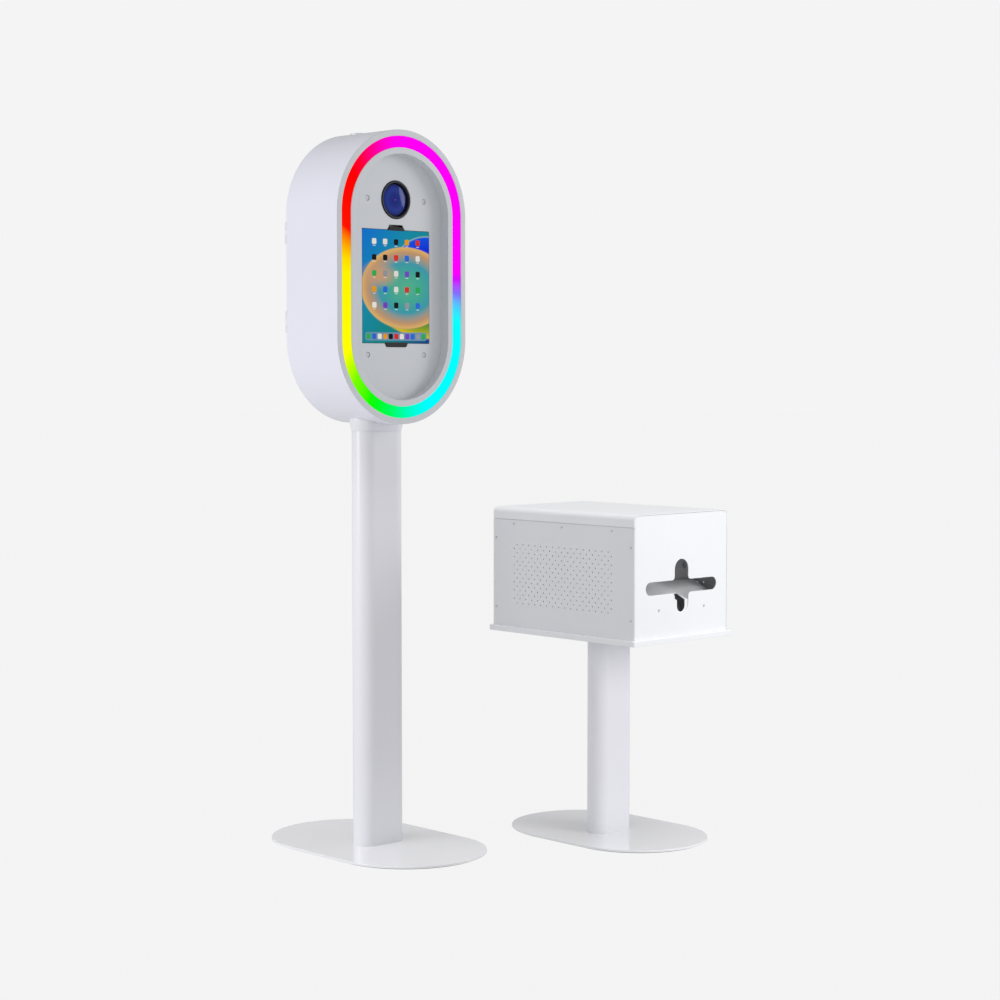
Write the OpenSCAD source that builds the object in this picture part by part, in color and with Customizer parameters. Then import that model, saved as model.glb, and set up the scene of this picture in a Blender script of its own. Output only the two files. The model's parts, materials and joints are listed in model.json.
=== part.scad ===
// Photo booth set: an oval camera kiosk on a flat-oval post, and the free-standing
// print station that belongs to it. Millimetres, +Z up, +X to the right as seen from
// the front, -Y to the front. The origin is on the floor, under the kiosk's post.

/* [Kiosk base] */
// Front-to-back length of the kiosk's base plate
kiosk_base_l = 580; // [460:5:640]
// Width of the kiosk's base plate
kiosk_base_w = 363; // [300:1:400]
// Thickness of both base plates
base_t = 5; // [5:0.5:10]
// Thickness of the anti-slip pads
pad_t = 2; // [1:0.5:4]
// How far a pad stays inside its plate
pad_inset = 6; // [3:1:12]

/* [Kiosk post] */
// Width of the kiosk's post
post_w = 130; // [120:1:160]
// Depth of the kiosk's post
post_d = 65; // [60:1:80]
// Wall of both posts
post_wall = 3; // [2:0.5:4]
// How far the head's neck reaches down over the post
neck_drop = 18; // [12:1:30]
// How much wider than the post the neck is at its top
neck_flare = 5.5; // [3:0.5:8]
// Length of the spigot that plugs into the post
spigot_l = 78; // [50:1:120]

/* [Head] */
// Width of the head
head_w = 386; // [370:1:460]
// Height of the head
head_h = 668; // [640:1:780]
// Depth of the head
head_d = 183; // [178:1:230]
// Height of the head's lowest point
head_base_z = 988; // [700:1:1200]
// Distance from the post's axis to the head's front
head_forward = 95; // [88:1:120]
// Wall of the head's shell
shell_wall = 4; // [3:0.5:6]
// Width of the shell's front rim, outside the light ring
outer_rim_w = 13.7; // [10:0.1:20]
// Width of the light ring
led_w = 26.5; // [20:0.5:34]
// Width of the rim inside the light ring
inner_rim_w = 14.1; // [10:0.1:20]
// Depth of the recess to the face panel
recess = 24; // [20:1:40]
// Thickness of the face panel
panel_t = 4; // [4:0.5:6]

/* [Camera and tablet] */
// Diameter of the lens hole in the face panel
lens_hole_d = 88; // [86:1:100]
// Height of the lens above the head's lowest point
lens_rise = 511; // [500:1:540]
// Diameter of the lens
lens_d = 85; // [76:1:85]
// Width of the tablet's window
window_w = 203; // [180:1:206]
// Height of the tablet's window
window_h = 259; // [240:1:265]
// Height of the window's middle above the head's lowest point
window_rise = 313.5; // [300:1:315]
// Thickness of the tablet with its glass
tablet_t = 7.8; // [6:0.1:9]
// Travel of the tablet's upper clamp
clamp_travel = 2; // [1:0.5:3]
// Distance of the panel's screws from the middle
panel_screw_x = 84.5; // [80:0.5:92]

/* [Print station] */
// Distance of the station to the right of the kiosk
station_x = 492; // [450:1:800]
// Distance of the station in front of the kiosk
station_y = 277; // [0:1:400]
// Front-to-back length of the station's base plate
station_base_l = 519; // [420:1:600]
// Width of the station's base plate
station_base_w = 340; // [280:1:380]
// Width of the station's post
station_post_w = 120; // [110:1:150]
// Depth of the station's post
station_post_d = 60; // [54:1:80]
// Height of the pan's underside
pan_z = 484; // [400:1:700]
// Height of the pan's rim
pan_h = 13; // [10:1:20]
// How far the pan stands out from the case
pan_lip = 7.6; // [5:0.1:12]
// Width of the case
case_w = 322; // [316:1:380]
// Front-to-back length of the case
case_l = 463; // [450:1:540]
// Height of the case above the pan
case_h = 286; // [270:1:340]
// Sheet thickness of the case
sheet_t = 2; // [1.5:0.5:2.5]
// Height of the hood's turned-down sides
hood_drop = 29; // [24:1:40]
// Bend radius of the hood, outside
hood_r = 13; // [8:1:20]

/* [Side grille] */
// Pitch of the holes
grille_pitch = 20; // [16:0.5:21]
// Diameter of a hole
grille_hole_d = 3; // [2:0.5:5]
// Holes in a long row
grille_cols = 17; // [9:1:17]
// Number of long rows
grille_rows = 7; // [3:1:7]

/* [Print slot] */
// Length of the level slot
slot_w = 244; // [200:1:260]
// Height of the level slot
slot_h = 30; // [20:1:40]
// Width of the upright slot
cross_w = 47; // [36:1:60]
// Height of the level slot's middle above the pan
slot_rise = 115; // [105:1:130]
// How far the upright slot reaches above and below the level slot's middle
cross_half = 63.5; // [55:0.5:75]
// Corner radius where the slots meet
cross_fillet = 9; // [4:0.5:14]
// Width of the chute's finger slot
finger_w = 27; // [20:1:32]
// Slope of the chute in degrees
chute_slope = 26; // [18:1:30]

/* [Hidden] */

$fn = 96;

// Clearances, named once
fit = 0.3;           // between pieces that plug into each other
run = 0.05;          // radial clearance of a shaft in its bore
seat = 0.2;          // between a piece and the curved wall that it follows
eps = 1;             // how far a cut runs past a face
screw_r = 2;

// Stack of the base
plate_z = pad_t;
plate_top = pad_t + base_t;
bolt_r = 4;
bolt_head_r = 8;
bolt_head_h = 4;
bolt_l = 32;
foot_h = 42;
bolt_inset_x = 29;
bolt_inset_y = 19;
kiosk_bolt_x = post_w / 2 - bolt_inset_x;
kiosk_bolt_y = post_d / 2 - bolt_inset_y;
station_bolt_x = station_post_w / 2 - bolt_inset_x;
station_bolt_y = station_post_d / 2 - bolt_inset_y;

// Head, seen from the front
head_r = head_w / 2;
head_zc = head_base_z + head_h / 2;
head_front = -head_forward;
head_back = head_front + head_d;
low_centre_z = head_base_z + head_r;
high_centre_z = head_base_z + head_h - head_r;
flange_t = 3;
ring_gap = 0.3;
led_out = outer_rim_w + ring_gap;
led_in = outer_rim_w + led_w - ring_gap;
rim_out = outer_rim_w + led_w;
recess_inset = outer_rim_w + led_w + inner_rim_w;
frame_wall = 3;
channel_depth = 16;
channel_y = head_front + channel_depth;
channel_t = 3;
panel_front = head_front + recess;
panel_back = panel_front + panel_t;
panel_overlap = 8;
panel_inset = recess_inset - panel_overlap;

// Neck
post_clear = 4;       // between the post's end and the head's lowest line
post_top = head_base_z - post_clear;
neck_bottom = head_base_z - neck_drop;
neck_seam_proud = 1.2;
neck_seam_h = 2.5;
duct_r = 16;
neck_bolt_inset_x = 17;
neck_bolt_inset_y = 14;
neck_bolt_x = post_w / 2 - neck_bolt_inset_x;
neck_bolt_y = post_d / 2 - post_wall - neck_bolt_inset_y;
neck_bolt_r = 3;
neck_bolt_head_r = 5;
neck_bolt_head_h = 4;
saddle_w = post_w;
saddle_d = post_d - 2 * post_wall;
saddle_h = 22;
grub_r = 2.5;
grub_inset = 39;
grub_x = post_w / 2 - grub_inset;
grub_z = head_base_z - neck_drop / 2 - 1;

// Chassis plate behind the face panel
lens_z = head_base_z + lens_rise;
window_z = head_base_z + window_rise;
standoff_l = 15;
standoff_r = 6;
chassis_front = panel_back + standoff_l;
chassis_t = 3;
chassis_back = chassis_front + chassis_t;
panel_screw_drop = 26;
panel_screw_low_z = window_z - window_h / 2 - panel_screw_drop;
panel_screw_high_z = lens_z;
chassis_edge = 14;
chassis_low_edge = 18;
chassis_w = 2 * (panel_screw_x + chassis_edge);
chassis_bottom = panel_screw_low_z - chassis_low_edge;
chassis_top = lens_z + lens_hole_d / 2 + chassis_edge;
counterbore_r = 6;
counterbore_h = 2.6;
panel_screw_head_r = 5.6;
panel_screw_head_h = 1.5;
panel_screw_top = panel_front + counterbore_h - panel_screw_head_h;

// Tablet and its clamp
tablet_gap = 0.6;
tablet_w = window_w - 2 * tablet_gap;
tablet_h = window_h - 2 * tablet_gap;
tablet_r = 5;
glass_t = 0.8;
screen_inset = 0.4;
tablet_back = panel_front + tablet_t;
top_edge = window_z + tablet_h / 2;
bottom_edge = window_z - tablet_h / 2;
jaw_lip_t = 1.4;
jaw_lap = 1.8;
jaw_seat = 0.2;
top_jaw_w = 48;
top_jaw_top_w = 35;
top_jaw_h = 6.8;
jaw_nub_w = 6;
jaw_nub_h = 2;
bottom_jaw_w = 67;
bottom_jaw_low_w = 58;
bottom_jaw_h = 8;
notch_gap = 0.8;
jaw_stem_w = 20;
jaw_stem_t = 3;
jaw_stem_l = 90;
bracket_t = 3;
bracket_w = 110;
bracket_short = 75;
bracket_h = window_h - bracket_short;
bracket_gap = 0.1;
bracket_front = tablet_back + bracket_gap;
stem_front = bracket_front + bracket_t + fit;
stem_back = stem_front + jaw_stem_t;
rib_w = 8;

// Camera
camera_w = 136;
camera_h = 90;
camera_d = 58;
camera_drop = 10.5;
camera_reach = 66;
camera_bottom = lens_z - lens_d / 2 - camera_drop;
camera_front = chassis_back + camera_reach;
camera_back = camera_front + camera_d;
camera_corner = 12;
grip_w = 24;
grip_corner = 10;
grip_d = 20;
hump_w = 56;
hump_top_w = 34;
hump_h = 20;
hood_wall = 6.5;
barrel_r = lens_d / 2 - hood_wall;
barrel_bore = 30;
hood_l = 34;
lens_front = panel_front - 2;
hood_back = lens_front + hood_l;
glass_rim = 4.5;
glass_r = lens_d / 2 - glass_rim;
glass_seat = 12;
glass_edge = 4;
glass_ball_r = 95;
focus_l = 16;
zoom_l = 26;
ring_out_r = lens_d / 2 - 1;
ring_space = 2;
focus_front = hood_back + ring_space;
zoom_front = focus_front + focus_l + ring_space;
rib_n = 36;
shelf_t = 3;
shelf_w = 110;
shelf_flange = 60;
tripod_y = camera_front + camera_d / 2;
tripod_r = 3.1;
shutter_r = 5;
shutter_travel = 2;
shutter_h = 3.5;
shutter_stem_r = 2.5;
shutter_stem_l = 8;
shutter_x = -camera_w / 2 + grip_w / 2;
shutter_y = camera_front - grip_d / 2 + 2;

// Electronics on the chassis plate
supply_w = 110;
supply_h = 96;
supply_d = 34;
supply_rise = 24;
supply_z = chassis_bottom + supply_rise;
controller_w = 62;
controller_h = 48;
controller_d = 18;
controller_rise = 32;
controller_z = supply_z + supply_h + controller_rise;

// Power inlet at the back of the post
inlet_z = 98;
inlet_w = 44;
inlet_h = 58;
inlet_flange = 3;
inlet_flange_t = 2;
inlet_depth = 26;
socket_w = 27;
socket_h = 19;
socket_deep = 17;
socket_drop = 13;
socket_z = inlet_z - socket_drop;
pin_l = 8;
pin_w = 2;
pin_h = 4;
pin_pitch = 7;
rocker_rise = 15;
rocker_z = inlet_z + rocker_rise;
rocker_w = 13;
rocker_half = 8.5;
rocker_tilt = 7;
rocker_well_h = 20;
rocker_well_deep = 8;
rocker_pin_r = 1.2;
post_back = post_d / 2;
inlet_face = post_back + inlet_flange_t;
rocker_sink = 0.5;
rocker_y = inlet_face - rocker_sink;

// Cap on top of the head
cap_r = 19;
cap_h = 3;
cap_from_back = 26;
cap_y = head_back - cap_from_back;
cap_stem_r = 8;

// Rear door of the head
door_t = 3;
door_gap = 0.8;
door_front = head_back - door_t;
lip_t = 3;
lip_w = 10;
lip_back = door_front - fit;
lip_front = lip_back - lip_t;
door_inset = shell_wall + door_gap;
knuckle_r = 4.5;
pin_r = 2;
hinge_inset = 6;
hinge_x = -head_r + hinge_inset;
hinge_y = head_back + knuckle_r;
knuckle_l = 16;
knuckle_gap = 0.3;
hinge_block = 8;
hinge_from_end = 40;
door_hinge_zs = [low_centre_z + hinge_from_end, high_centre_z - hinge_from_end];
lock_inset = 28;
lock_x = head_r - lock_inset;
lock_z = head_zc;
lock_r = 9.5;
lock_flange_r = 12;
lock_flange_t = 2.5;
lock_l = 8;
plug_r = 6;
cam_t = 2.5;
cam_w = 12;
cam_l = 17;
key_w = 1.2;
key_l = 6;
vent_n = 9;
vent_h = 4;
vent_w = 78;
vent_pitch = 9;

// Fan on the rear door
fan_s = 80;
fan_t = 25;
fan_drop = 90;
fan_z = head_zc - fan_drop;
fan_bore = 38;
fan_hub_r = 16;
fan_shaft_r = 3;
fan_blade_r = 36.5;
fan_blades = 7;
fan_back = door_front;
fan_front = fan_back - fan_t;
fan_spoke_t = 3;
fan_spoke_w = 5;

// Print station
case_z = pan_z + pan_h;
case_top = case_z + case_h;
case_front = -case_l / 2;
case_back = case_l / 2;
case_half = case_w / 2;
panel_top = case_top - hood_drop;
seam = 0.4;
flange_in = 12;
pan_t = 2;
front_t = 2;
plate_gap = 0.6;
head_plate_t = 4;
head_plate_edge = 30;
station_post_top = pan_z + pan_h - pan_t - head_plate_t;
head_plate_w = station_post_w + 2 * head_plate_edge;
head_plate_d = station_post_d + 2 * head_plate_edge;
case_screw_r = 1.5;
case_screw_head_r = 2.6;
case_screw_head_h = 1.2;
slot_z = case_z + slot_rise;
top_screw_inset = 70;
top_screw_ys = [case_front + top_screw_inset, 0, case_back - top_screw_inset];
edge_screw_inset = 10;
edge_screw_from_end = 45;
edge_screw_zs = [case_z + edge_screw_from_end, panel_top - edge_screw_from_end];

// Chute behind the front plate
chute_w = 250;
chute_t = 1.5;
chute_gap = 0.1;
chute_drop = 17;
chute_tab = 40;
chute_front = case_front + front_t + chute_gap;
chute_bend_z = slot_z - slot_h / 2 - chute_drop;
chute_low_z = chute_bend_z - chute_tab;
chute_run = 74;
chute_rise = chute_run * tan(chute_slope);
finger_rise = 4;
finger_low_z = slot_z - cross_half + finger_rise;
finger_deep = 26;
chute_screw_x = 78;
chute_screw_drop = 51;
chute_screw_z = slot_z - chute_screw_drop;

// Printer
printer_w = 275;
printer_d = 355;
printer_h = 170;
printer_foot_h = 4;
printer_foot_r = 10;
printer_z = case_z + printer_foot_h;
printer_top = printer_z + printer_h;
printer_space = 12;
printer_back = case_back - printer_space;
printer_front = printer_back - printer_d;
exit_w = 165;
exit_h = 12;
exit_drop = 22;
exit_z = printer_top - exit_drop;
exit_deep = 60;
paper_r = 55;
paper_w = 152;
paper_from_front = 95;
paper_rise = 75;
paper_y = printer_front + paper_from_front;
paper_z = printer_z + paper_rise;
spindle_r = 6;
spindle_l = 8;
button_r = 6;
button_travel = 1.5;
button_h = 3;
button_stem_r = 3;
button_stem_l = 8;
button_inset = 24;
button_x = printer_w / 2 - button_inset;
button_z = printer_top - button_inset;

// Rear door of the case
door_from_side = 26;
door_from_floor = 24;
door_from_top = 6;
hinge_out = 4;
station_door_w = case_w - 2 * door_from_side;
station_door_z0 = case_z + door_from_floor;
station_door_z1 = panel_top - door_from_top;
station_hinge_x = -station_door_w / 2 - hinge_out;
station_hinge_y = case_back + fit + sheet_t + knuckle_r;
station_hinge_zs = [station_door_z0 + hinge_from_end, station_door_z1 - hinge_from_end];
station_lock_inset = 20;
station_lock_x = station_door_w / 2 - station_lock_inset;
station_door_h = station_door_z1 - station_door_z0;
door_mid_z = (station_door_z0 + station_door_z1) / 2;
door_lap = 8;
door_leaf_y = case_back + fit;

// Plan shapes
module oval(w, h) {
    if (w < h) {
        square([w, h - w], center = true);
        for (s = [-1, 1]) translate([0, s * (h - w) / 2]) circle(d = w);
    } else {
        square([w - h, h], center = true);
        for (s = [-1, 1]) translate([s * (w - h) / 2, 0]) circle(d = h);
    }
}

module rounded(w, h, r) {
    square([w - 2 * r, h], center = true);
    square([w, h - 2 * r], center = true);
    for (x = [-1, 1], y = [-1, 1])
        translate([x * (w / 2 - r), y * (h / 2 - r)]) circle(r = r);
}

module head_oval(inset) {
    translate([0, head_zc]) oval(head_w - 2 * inset, head_h - 2 * inset);
}

// Extrusions along each axis: a front view along Y, a side view along X
module upright(z0, z1) {
    translate([0, 0, z0]) linear_extrude(z1 - z0) children();
}

module along_y(y0, y1) {
    translate([0, y1, 0]) rotate([90, 0, 0]) linear_extrude(y1 - y0) children();
}

module along_x(x0, x1) {
    translate([x0, 0, 0]) rotate([90, 0, 90]) linear_extrude(x1 - x0) children();
}

module rod_y(x, z, r, y0, y1) {
    translate([x, y1, z]) rotate([90, 0, 0]) cylinder(h = y1 - y0, r = r);
}

module rod_x(y, z, r, x0, x1) {
    translate([x0, y, z]) rotate([0, 90, 0]) cylinder(h = x1 - x0, r = r);
}

module rod_z(x, y, r, z0, z1) {
    translate([x, y, z0]) cylinder(h = z1 - z0, r = r);
}

module four(x, y) {
    for (sx = [-1, 1], sy = [-1, 1]) translate([sx * x, sy * y, 0]) children();
}

module at_station() {
    translate([station_x, -station_y, 0]) children();
}

// Base parts, shared by the kiosk and the print station
module base_pad(w, l) {
    upright(0, pad_t) oval(w - 2 * pad_inset, l - 2 * pad_inset);
}

module base_bolt(grow) {
    rod_z(0, 0, bolt_r + grow, plate_z, plate_z + bolt_l + grow);
    translate([0, 0, plate_z])
        cylinder(h = bolt_head_h, r1 = bolt_head_r + grow, r2 = bolt_r + grow);
}

module base_plate(w, l, bx, by) {
    difference() {
        upright(plate_z, plate_top) oval(w, l);
        four(bx, by) base_bolt(seat);
    }
}

module post_foot(w, d, bx, by) {
    difference() {
        upright(plate_top, plate_top + foot_h)
            oval(w - 2 * (post_wall + seat), d - 2 * (post_wall + seat));
        four(bx, by) base_bolt(run);
    }
}

module post_tube(w, d, top) {
    upright(plate_top, top) difference() {
        oval(w, d);
        oval(w - 2 * post_wall, d - 2 * post_wall);
    }
}

module kiosk_base_pad() {
    color("#3a3c40") base_pad(kiosk_base_w, kiosk_base_l);
}

module kiosk_base_plate() {
    color("#dcdde4") base_plate(kiosk_base_w, kiosk_base_l, kiosk_bolt_x, kiosk_bolt_y);
}

module kiosk_base_bolts() {
    color("#9a9ca2") four(kiosk_bolt_x, kiosk_bolt_y) base_bolt(0);
}

module kiosk_post_foot() {
    color("#b4b6bc") post_foot(post_w, post_d, kiosk_bolt_x, kiosk_bolt_y);
}

module kiosk_post() {
    color("#d8dae0") difference() {
        post_tube(post_w, post_d, post_top);
        along_y(0, post_d) translate([0, inlet_z])
            square([inlet_w + 2 * fit, inlet_h + 2 * fit], center = true);
    }
}

// Power inlet: a flanged housing with a three-pin socket and a rocker switch
module power_inlet() {
    color("#26272b") {
        difference() {
            union() {
                along_y(inlet_face - inlet_depth, inlet_face)
                    translate([0, inlet_z]) square([inlet_w, inlet_h], center = true);
                along_y(post_back, inlet_face) translate([0, inlet_z])
                    square([inlet_w + 2 * inlet_flange, inlet_h + 2 * inlet_flange],
                        center = true);
            }
            along_y(inlet_face - socket_deep, inlet_face + eps)
                translate([0, socket_z]) square([socket_w, socket_h], center = true);
            along_y(inlet_face - rocker_well_deep, inlet_face + eps)
                translate([0, rocker_z])
                    square([rocker_w + 2 * fit, rocker_well_h], center = true);
            rod_x(rocker_y, rocker_z, rocker_pin_r + run,
                -rocker_w / 2 - 2, rocker_w / 2 + 2);
        }
        for (i = [-1, 0, 1]) {
            pin_z = socket_z + (i == 0 ? 3 : -1);
            along_y(inlet_face - socket_deep, inlet_face - socket_deep + pin_l)
                translate([i * pin_pitch, pin_z]) square([pin_w, pin_h], center = true);
        }
    }
}

module rocker_switch() {
    color("#c03a34") translate([0, rocker_y, rocker_z]) rotate([rocker_tilt, 0, 0]) {
        along_x(-rocker_w / 2, rocker_w / 2) polygon([
            [-3, -rocker_half], [2.2, -rocker_half], [1.4, 0],
            [2.2, rocker_half], [-3, rocker_half]
        ]);
        rod_x(0, 0, rocker_pin_r, -rocker_w / 2 - 1.8, rocker_w / 2 + 1.8);
    }
}

// The head's lowest curve, for pieces that follow it
module head_low_round(r, y0, y1) {
    rod_y(0, low_centre_z, r, y0, y1);
}

module neck_bolt(grow) {
    rod_z(0, 0, neck_bolt_r + grow, post_top + 1, head_base_z + saddle_h + eps * grow);
}

module neck_collar() {
    color("#d8dae0") difference() {
        union() {
            hull() {
                for (s = [-1, 1]) {
                    translate([s * (post_w - post_d) / 2, 0, neck_bottom + neck_seam_h])
                        cylinder(h = 1, r = post_d / 2 + neck_seam_proud, $fn = 48);
                    translate([s * (post_w - post_d) / 2, 0, head_base_z + 2])
                        cylinder(h = 14, r = post_d / 2 + neck_flare, $fn = 48);
                }
            }
            upright(neck_bottom, neck_bottom + neck_seam_h + eps)
                oval(post_w + 2 * neck_seam_proud, post_d + 2 * neck_seam_proud);
        }
        upright(neck_bottom - eps, post_top + fit)
            oval(post_w + 2 * fit, post_d + 2 * fit);
        neck_cuts();
        for (s = [-1, 1]) rod_y(s * grub_x, grub_z, grub_r + run, 0, post_d);
    }
    color("#d8dae0") difference() {
        upright(post_top - spigot_l, post_top + 1)
            oval(post_w - 2 * (post_wall + fit), post_d - 2 * (post_wall + fit));
        neck_cuts();
    }
}

module neck_cuts() {
    rod_z(0, 0, duct_r, post_top - spigot_l - eps, head_base_z + saddle_h + eps);
    head_low_round(head_r + seat, -post_d, post_d);
    four(neck_bolt_x, neck_bolt_y) neck_bolt(run);
}

module neck_saddle() {
    color("#9fa2a8") difference() {
        intersection() {
            translate([-saddle_w / 2, -saddle_d / 2, head_base_z])
                cube([saddle_w, saddle_d, saddle_h]);
            head_low_round(head_r - shell_wall - seat, -saddle_d, saddle_d);
        }
        rod_z(0, 0, duct_r, head_base_z - eps, head_base_z + saddle_h + eps);
        four(neck_bolt_x, neck_bolt_y) neck_bolt(run);
    }
}

module neck_fasteners() {
    color("#8d9096") {
        four(neck_bolt_x, neck_bolt_y) {
            neck_bolt(0);
            rod_z(0, 0, neck_bolt_head_r, head_base_z + saddle_h,
                head_base_z + saddle_h + neck_bolt_head_h);
        }
        for (s = [-1, 1])
            rod_y(s * grub_x, grub_z, grub_r, post_back + fit, post_back + 2.5);
    }
}

module head_shell() {
    color("#e6e6ee") difference() {
        along_y(head_front, head_back) head_oval(0);
        along_y(head_front - eps, head_front + flange_t) head_oval(outer_rim_w);
        along_y(head_front + flange_t, lip_front) head_oval(shell_wall);
        along_y(lip_front, lip_back) head_oval(shell_wall + lip_w);
        along_y(lip_back, head_back + eps) head_oval(shell_wall);
        rod_z(0, 0, duct_r, head_base_z - eps, head_base_z + saddle_h);
        four(neck_bolt_x, neck_bolt_y) neck_bolt(run);
        rod_z(0, cap_y, cap_stem_r + run, high_centre_z, head_base_z + head_h + eps);
    }
}

module front_frame() {
    color("#c6c7cb") difference() {
        union() {
            along_y(head_front, head_front + flange_t) head_oval(rim_out);
            along_y(head_front, panel_front) head_oval(recess_inset - frame_wall);
            along_y(channel_y, channel_y + channel_t) head_oval(shell_wall + seat);
        }
        along_y(head_front - eps, panel_front + eps) head_oval(recess_inset);
    }
}

module led_diffuser() {
    diffuser_t = 3;
    leg = 2;
    color("#f4f0f6") difference() {
        along_y(head_front + 0.5, channel_y) head_oval(led_out);
        along_y(head_front - eps, channel_y + eps) head_oval(led_in);
        along_y(head_front + 0.5 + diffuser_t, channel_y + eps) difference() {
            head_oval(led_out + leg);
            head_oval(led_in - leg);
        }
    }
}

// Point at a share of the way round an oval of half width r, from its lowest point
function oval_point(share, r, straight) =
    let (arc = PI * r, total = 2 * (arc + straight), s = share * total)
    s < arc / 2 ? [r * sin(180 * s / arc), -straight / 2 - r * cos(180 * s / arc),
        180 * s / arc] :
    s < arc / 2 + straight ? [r, -straight / 2 + s - arc / 2, 90] :
    s < 1.5 * arc + straight ?
        let (a = 180 * (s - arc / 2 - straight) / arc)
        [r * cos(a), straight / 2 + r * sin(a), 90 + a] :
    s < 1.5 * arc + 2 * straight ?
        [-r, straight / 2 - (s - 1.5 * arc - straight), 270] :
    let (a = 180 * (s - 1.5 * arc - 2 * straight) / arc)
        [-r * cos(a), -straight / 2 - r * sin(a), 270 + a];

module led_strip() {
    strip_w = 10;
    strip_t = 1;
    chip = 5;
    chip_t = 1.4;
    chips = 60;
    mid = (led_out + led_in) / 2;
    color("#f2f2e6") {
        along_y(channel_y - strip_t, channel_y) difference() {
            head_oval(mid - strip_w / 2);
            head_oval(mid + strip_w / 2);
        }
        along_y(channel_y - strip_t - chip_t, channel_y - strip_t / 2)
            for (i = [0 : chips - 1]) {
                p = oval_point((i + 0.5) / chips, head_r - mid, head_h - head_w);
                translate([p[0], head_zc + p[1]]) rotate(p[2])
                    square(chip, center = true);
            }
    }
}

// Outlines of the clamp's jaws, seen from the front, measured from the tablet's edge
module top_jaw_outline(grow, extra) {
    polygon([
        [-top_jaw_w / 2 - grow, -jaw_lap], [top_jaw_w / 2 + grow, -jaw_lap],
        [top_jaw_w / 2 + grow, 1], [top_jaw_top_w / 2 + grow, top_jaw_h + extra],
        [-top_jaw_top_w / 2 - grow, top_jaw_h + extra], [-top_jaw_w / 2 - grow, 1]
    ]);
}

module bottom_jaw_outline(grow) {
    polygon([
        [-bottom_jaw_w / 2 - grow, jaw_lap], [-bottom_jaw_w / 2 - grow, -1],
        [-bottom_jaw_low_w / 2 - grow, -bottom_jaw_h - grow],
        [bottom_jaw_low_w / 2 + grow, -bottom_jaw_h - grow],
        [bottom_jaw_w / 2 + grow, -1], [bottom_jaw_w / 2 + grow, jaw_lap]
    ]);
}

module face_panel() {
    notch_rise = jaw_nub_h + clamp_travel + notch_gap;
    color("#c9cbcf") difference() {
        along_y(panel_front, panel_back) difference() {
            head_oval(panel_inset);
            translate([0, lens_z]) circle(d = lens_hole_d);
            translate([0, window_z]) square([window_w, window_h], center = true);
            translate([0, top_edge]) top_jaw_outline(clamp_travel, notch_rise);
            translate([0, bottom_edge]) bottom_jaw_outline(notch_gap);
            for (x = [-1, 1], z = [panel_screw_low_z, panel_screw_high_z])
                translate([x * panel_screw_x, z]) circle(r = screw_r + run);
        }
        for (x = [-1, 1], z = [panel_screw_low_z, panel_screw_high_z])
            rod_y(x * panel_screw_x, z, counterbore_r,
                panel_front - eps, panel_front + counterbore_h);
    }
}

module face_panel_screws() {
    socket = 3;
    color("#8f9196") for (x = [-1, 1], z = [panel_screw_low_z, panel_screw_high_z])
        difference() {
            union() {
                rod_y(x * panel_screw_x, z, panel_screw_head_r,
                    panel_screw_top, panel_front + counterbore_h);
                rod_y(x * panel_screw_x, z, screw_r,
                    panel_screw_top + 1, chassis_back + 1);
            }
            translate([x * panel_screw_x, panel_screw_top + 0.9, z]) rotate([90, 0, 0])
                cylinder(h = 2, d = socket, $fn = 6);
        }
}

module chassis_plate() {
    color("#b9bcc2") difference() {
        union() {
            along_y(chassis_front, chassis_back) difference() {
                translate([0, (chassis_bottom + chassis_top) / 2])
                    rounded(chassis_w, chassis_top - chassis_bottom, 10);
                translate([0, lens_z]) circle(r = lens_hole_d / 2 + 2);
            }
            for (x = [-1, 1], z = [panel_screw_low_z, panel_screw_high_z])
                rod_y(x * panel_screw_x, z, standoff_r, panel_back, chassis_front + 1);
        }
        for (x = [-1, 1], z = [panel_screw_low_z, panel_screw_high_z])
            rod_y(x * panel_screw_x, z, screw_r + run, panel_back - eps, chassis_back + eps);
    }
}

// Bracket behind the tablet: a pad on two ribs, with a guide for the sliding jaw
module tablet_bracket() {
    rib_x = bracket_w / 2 - rib_w;
    guide_x = jaw_stem_w / 2 + fit;
    color("#2b2c30") {
        along_y(bracket_front, bracket_front + bracket_t)
            translate([0, window_z]) rounded(bracket_w, bracket_h, 8);
        for (s = [-1, 1]) {
            along_y(bracket_front + bracket_t - 0.5, chassis_front)
                translate([s * rib_x, window_z])
                    square([rib_w, bracket_h - 20], center = true);
            along_y(bracket_front + bracket_t - 0.5, stem_back + fit + 2)
                translate([s * (guide_x + 3), window_z + bracket_h / 2 - 35])
                    square([6, 50], center = true);
        }
        along_y(stem_back + fit, stem_back + fit + 2)
            translate([0, window_z + bracket_h / 2 - 35])
                square([2 * guide_x + 12, 50], center = true);
    }
}

module tablet_body() {
    color("#1d1e22") along_y(panel_front + glass_t, tablet_back)
        translate([0, window_z]) rounded(tablet_w, tablet_h, tablet_r);
}

module tablet_screen() {
    color("#2f7fb8") along_y(panel_front, panel_front + glass_t)
        translate([0, window_z]) rounded(tablet_w - 2 * screen_inset,
            tablet_h - 2 * screen_inset, tablet_r - screen_inset);
}

module tablet_top_jaw() {
    lip_y = panel_front - jaw_seat;
    color("#1c1b1f") {
        along_y(lip_y - jaw_lip_t, lip_y) translate([0, top_edge])
            top_jaw_outline(0, 0);
        along_y(lip_y - jaw_lip_t, stem_back) translate([0, top_edge])
            intersection() {
                top_jaw_outline(0, 0);
                translate([-top_jaw_w, jaw_seat]) square([2 * top_jaw_w, top_jaw_h]);
            }
        along_y(lip_y - jaw_lip_t, lip_y + jaw_lip_t)
            translate([-jaw_nub_w / 2, top_edge + top_jaw_h - 0.5])
                square([jaw_nub_w, jaw_nub_h + 0.5]);
        along_y(stem_front, stem_back)
            translate([-jaw_stem_w / 2, top_edge + top_jaw_h - jaw_stem_l])
                square([jaw_stem_w, jaw_stem_l]);
    }
}

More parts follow.
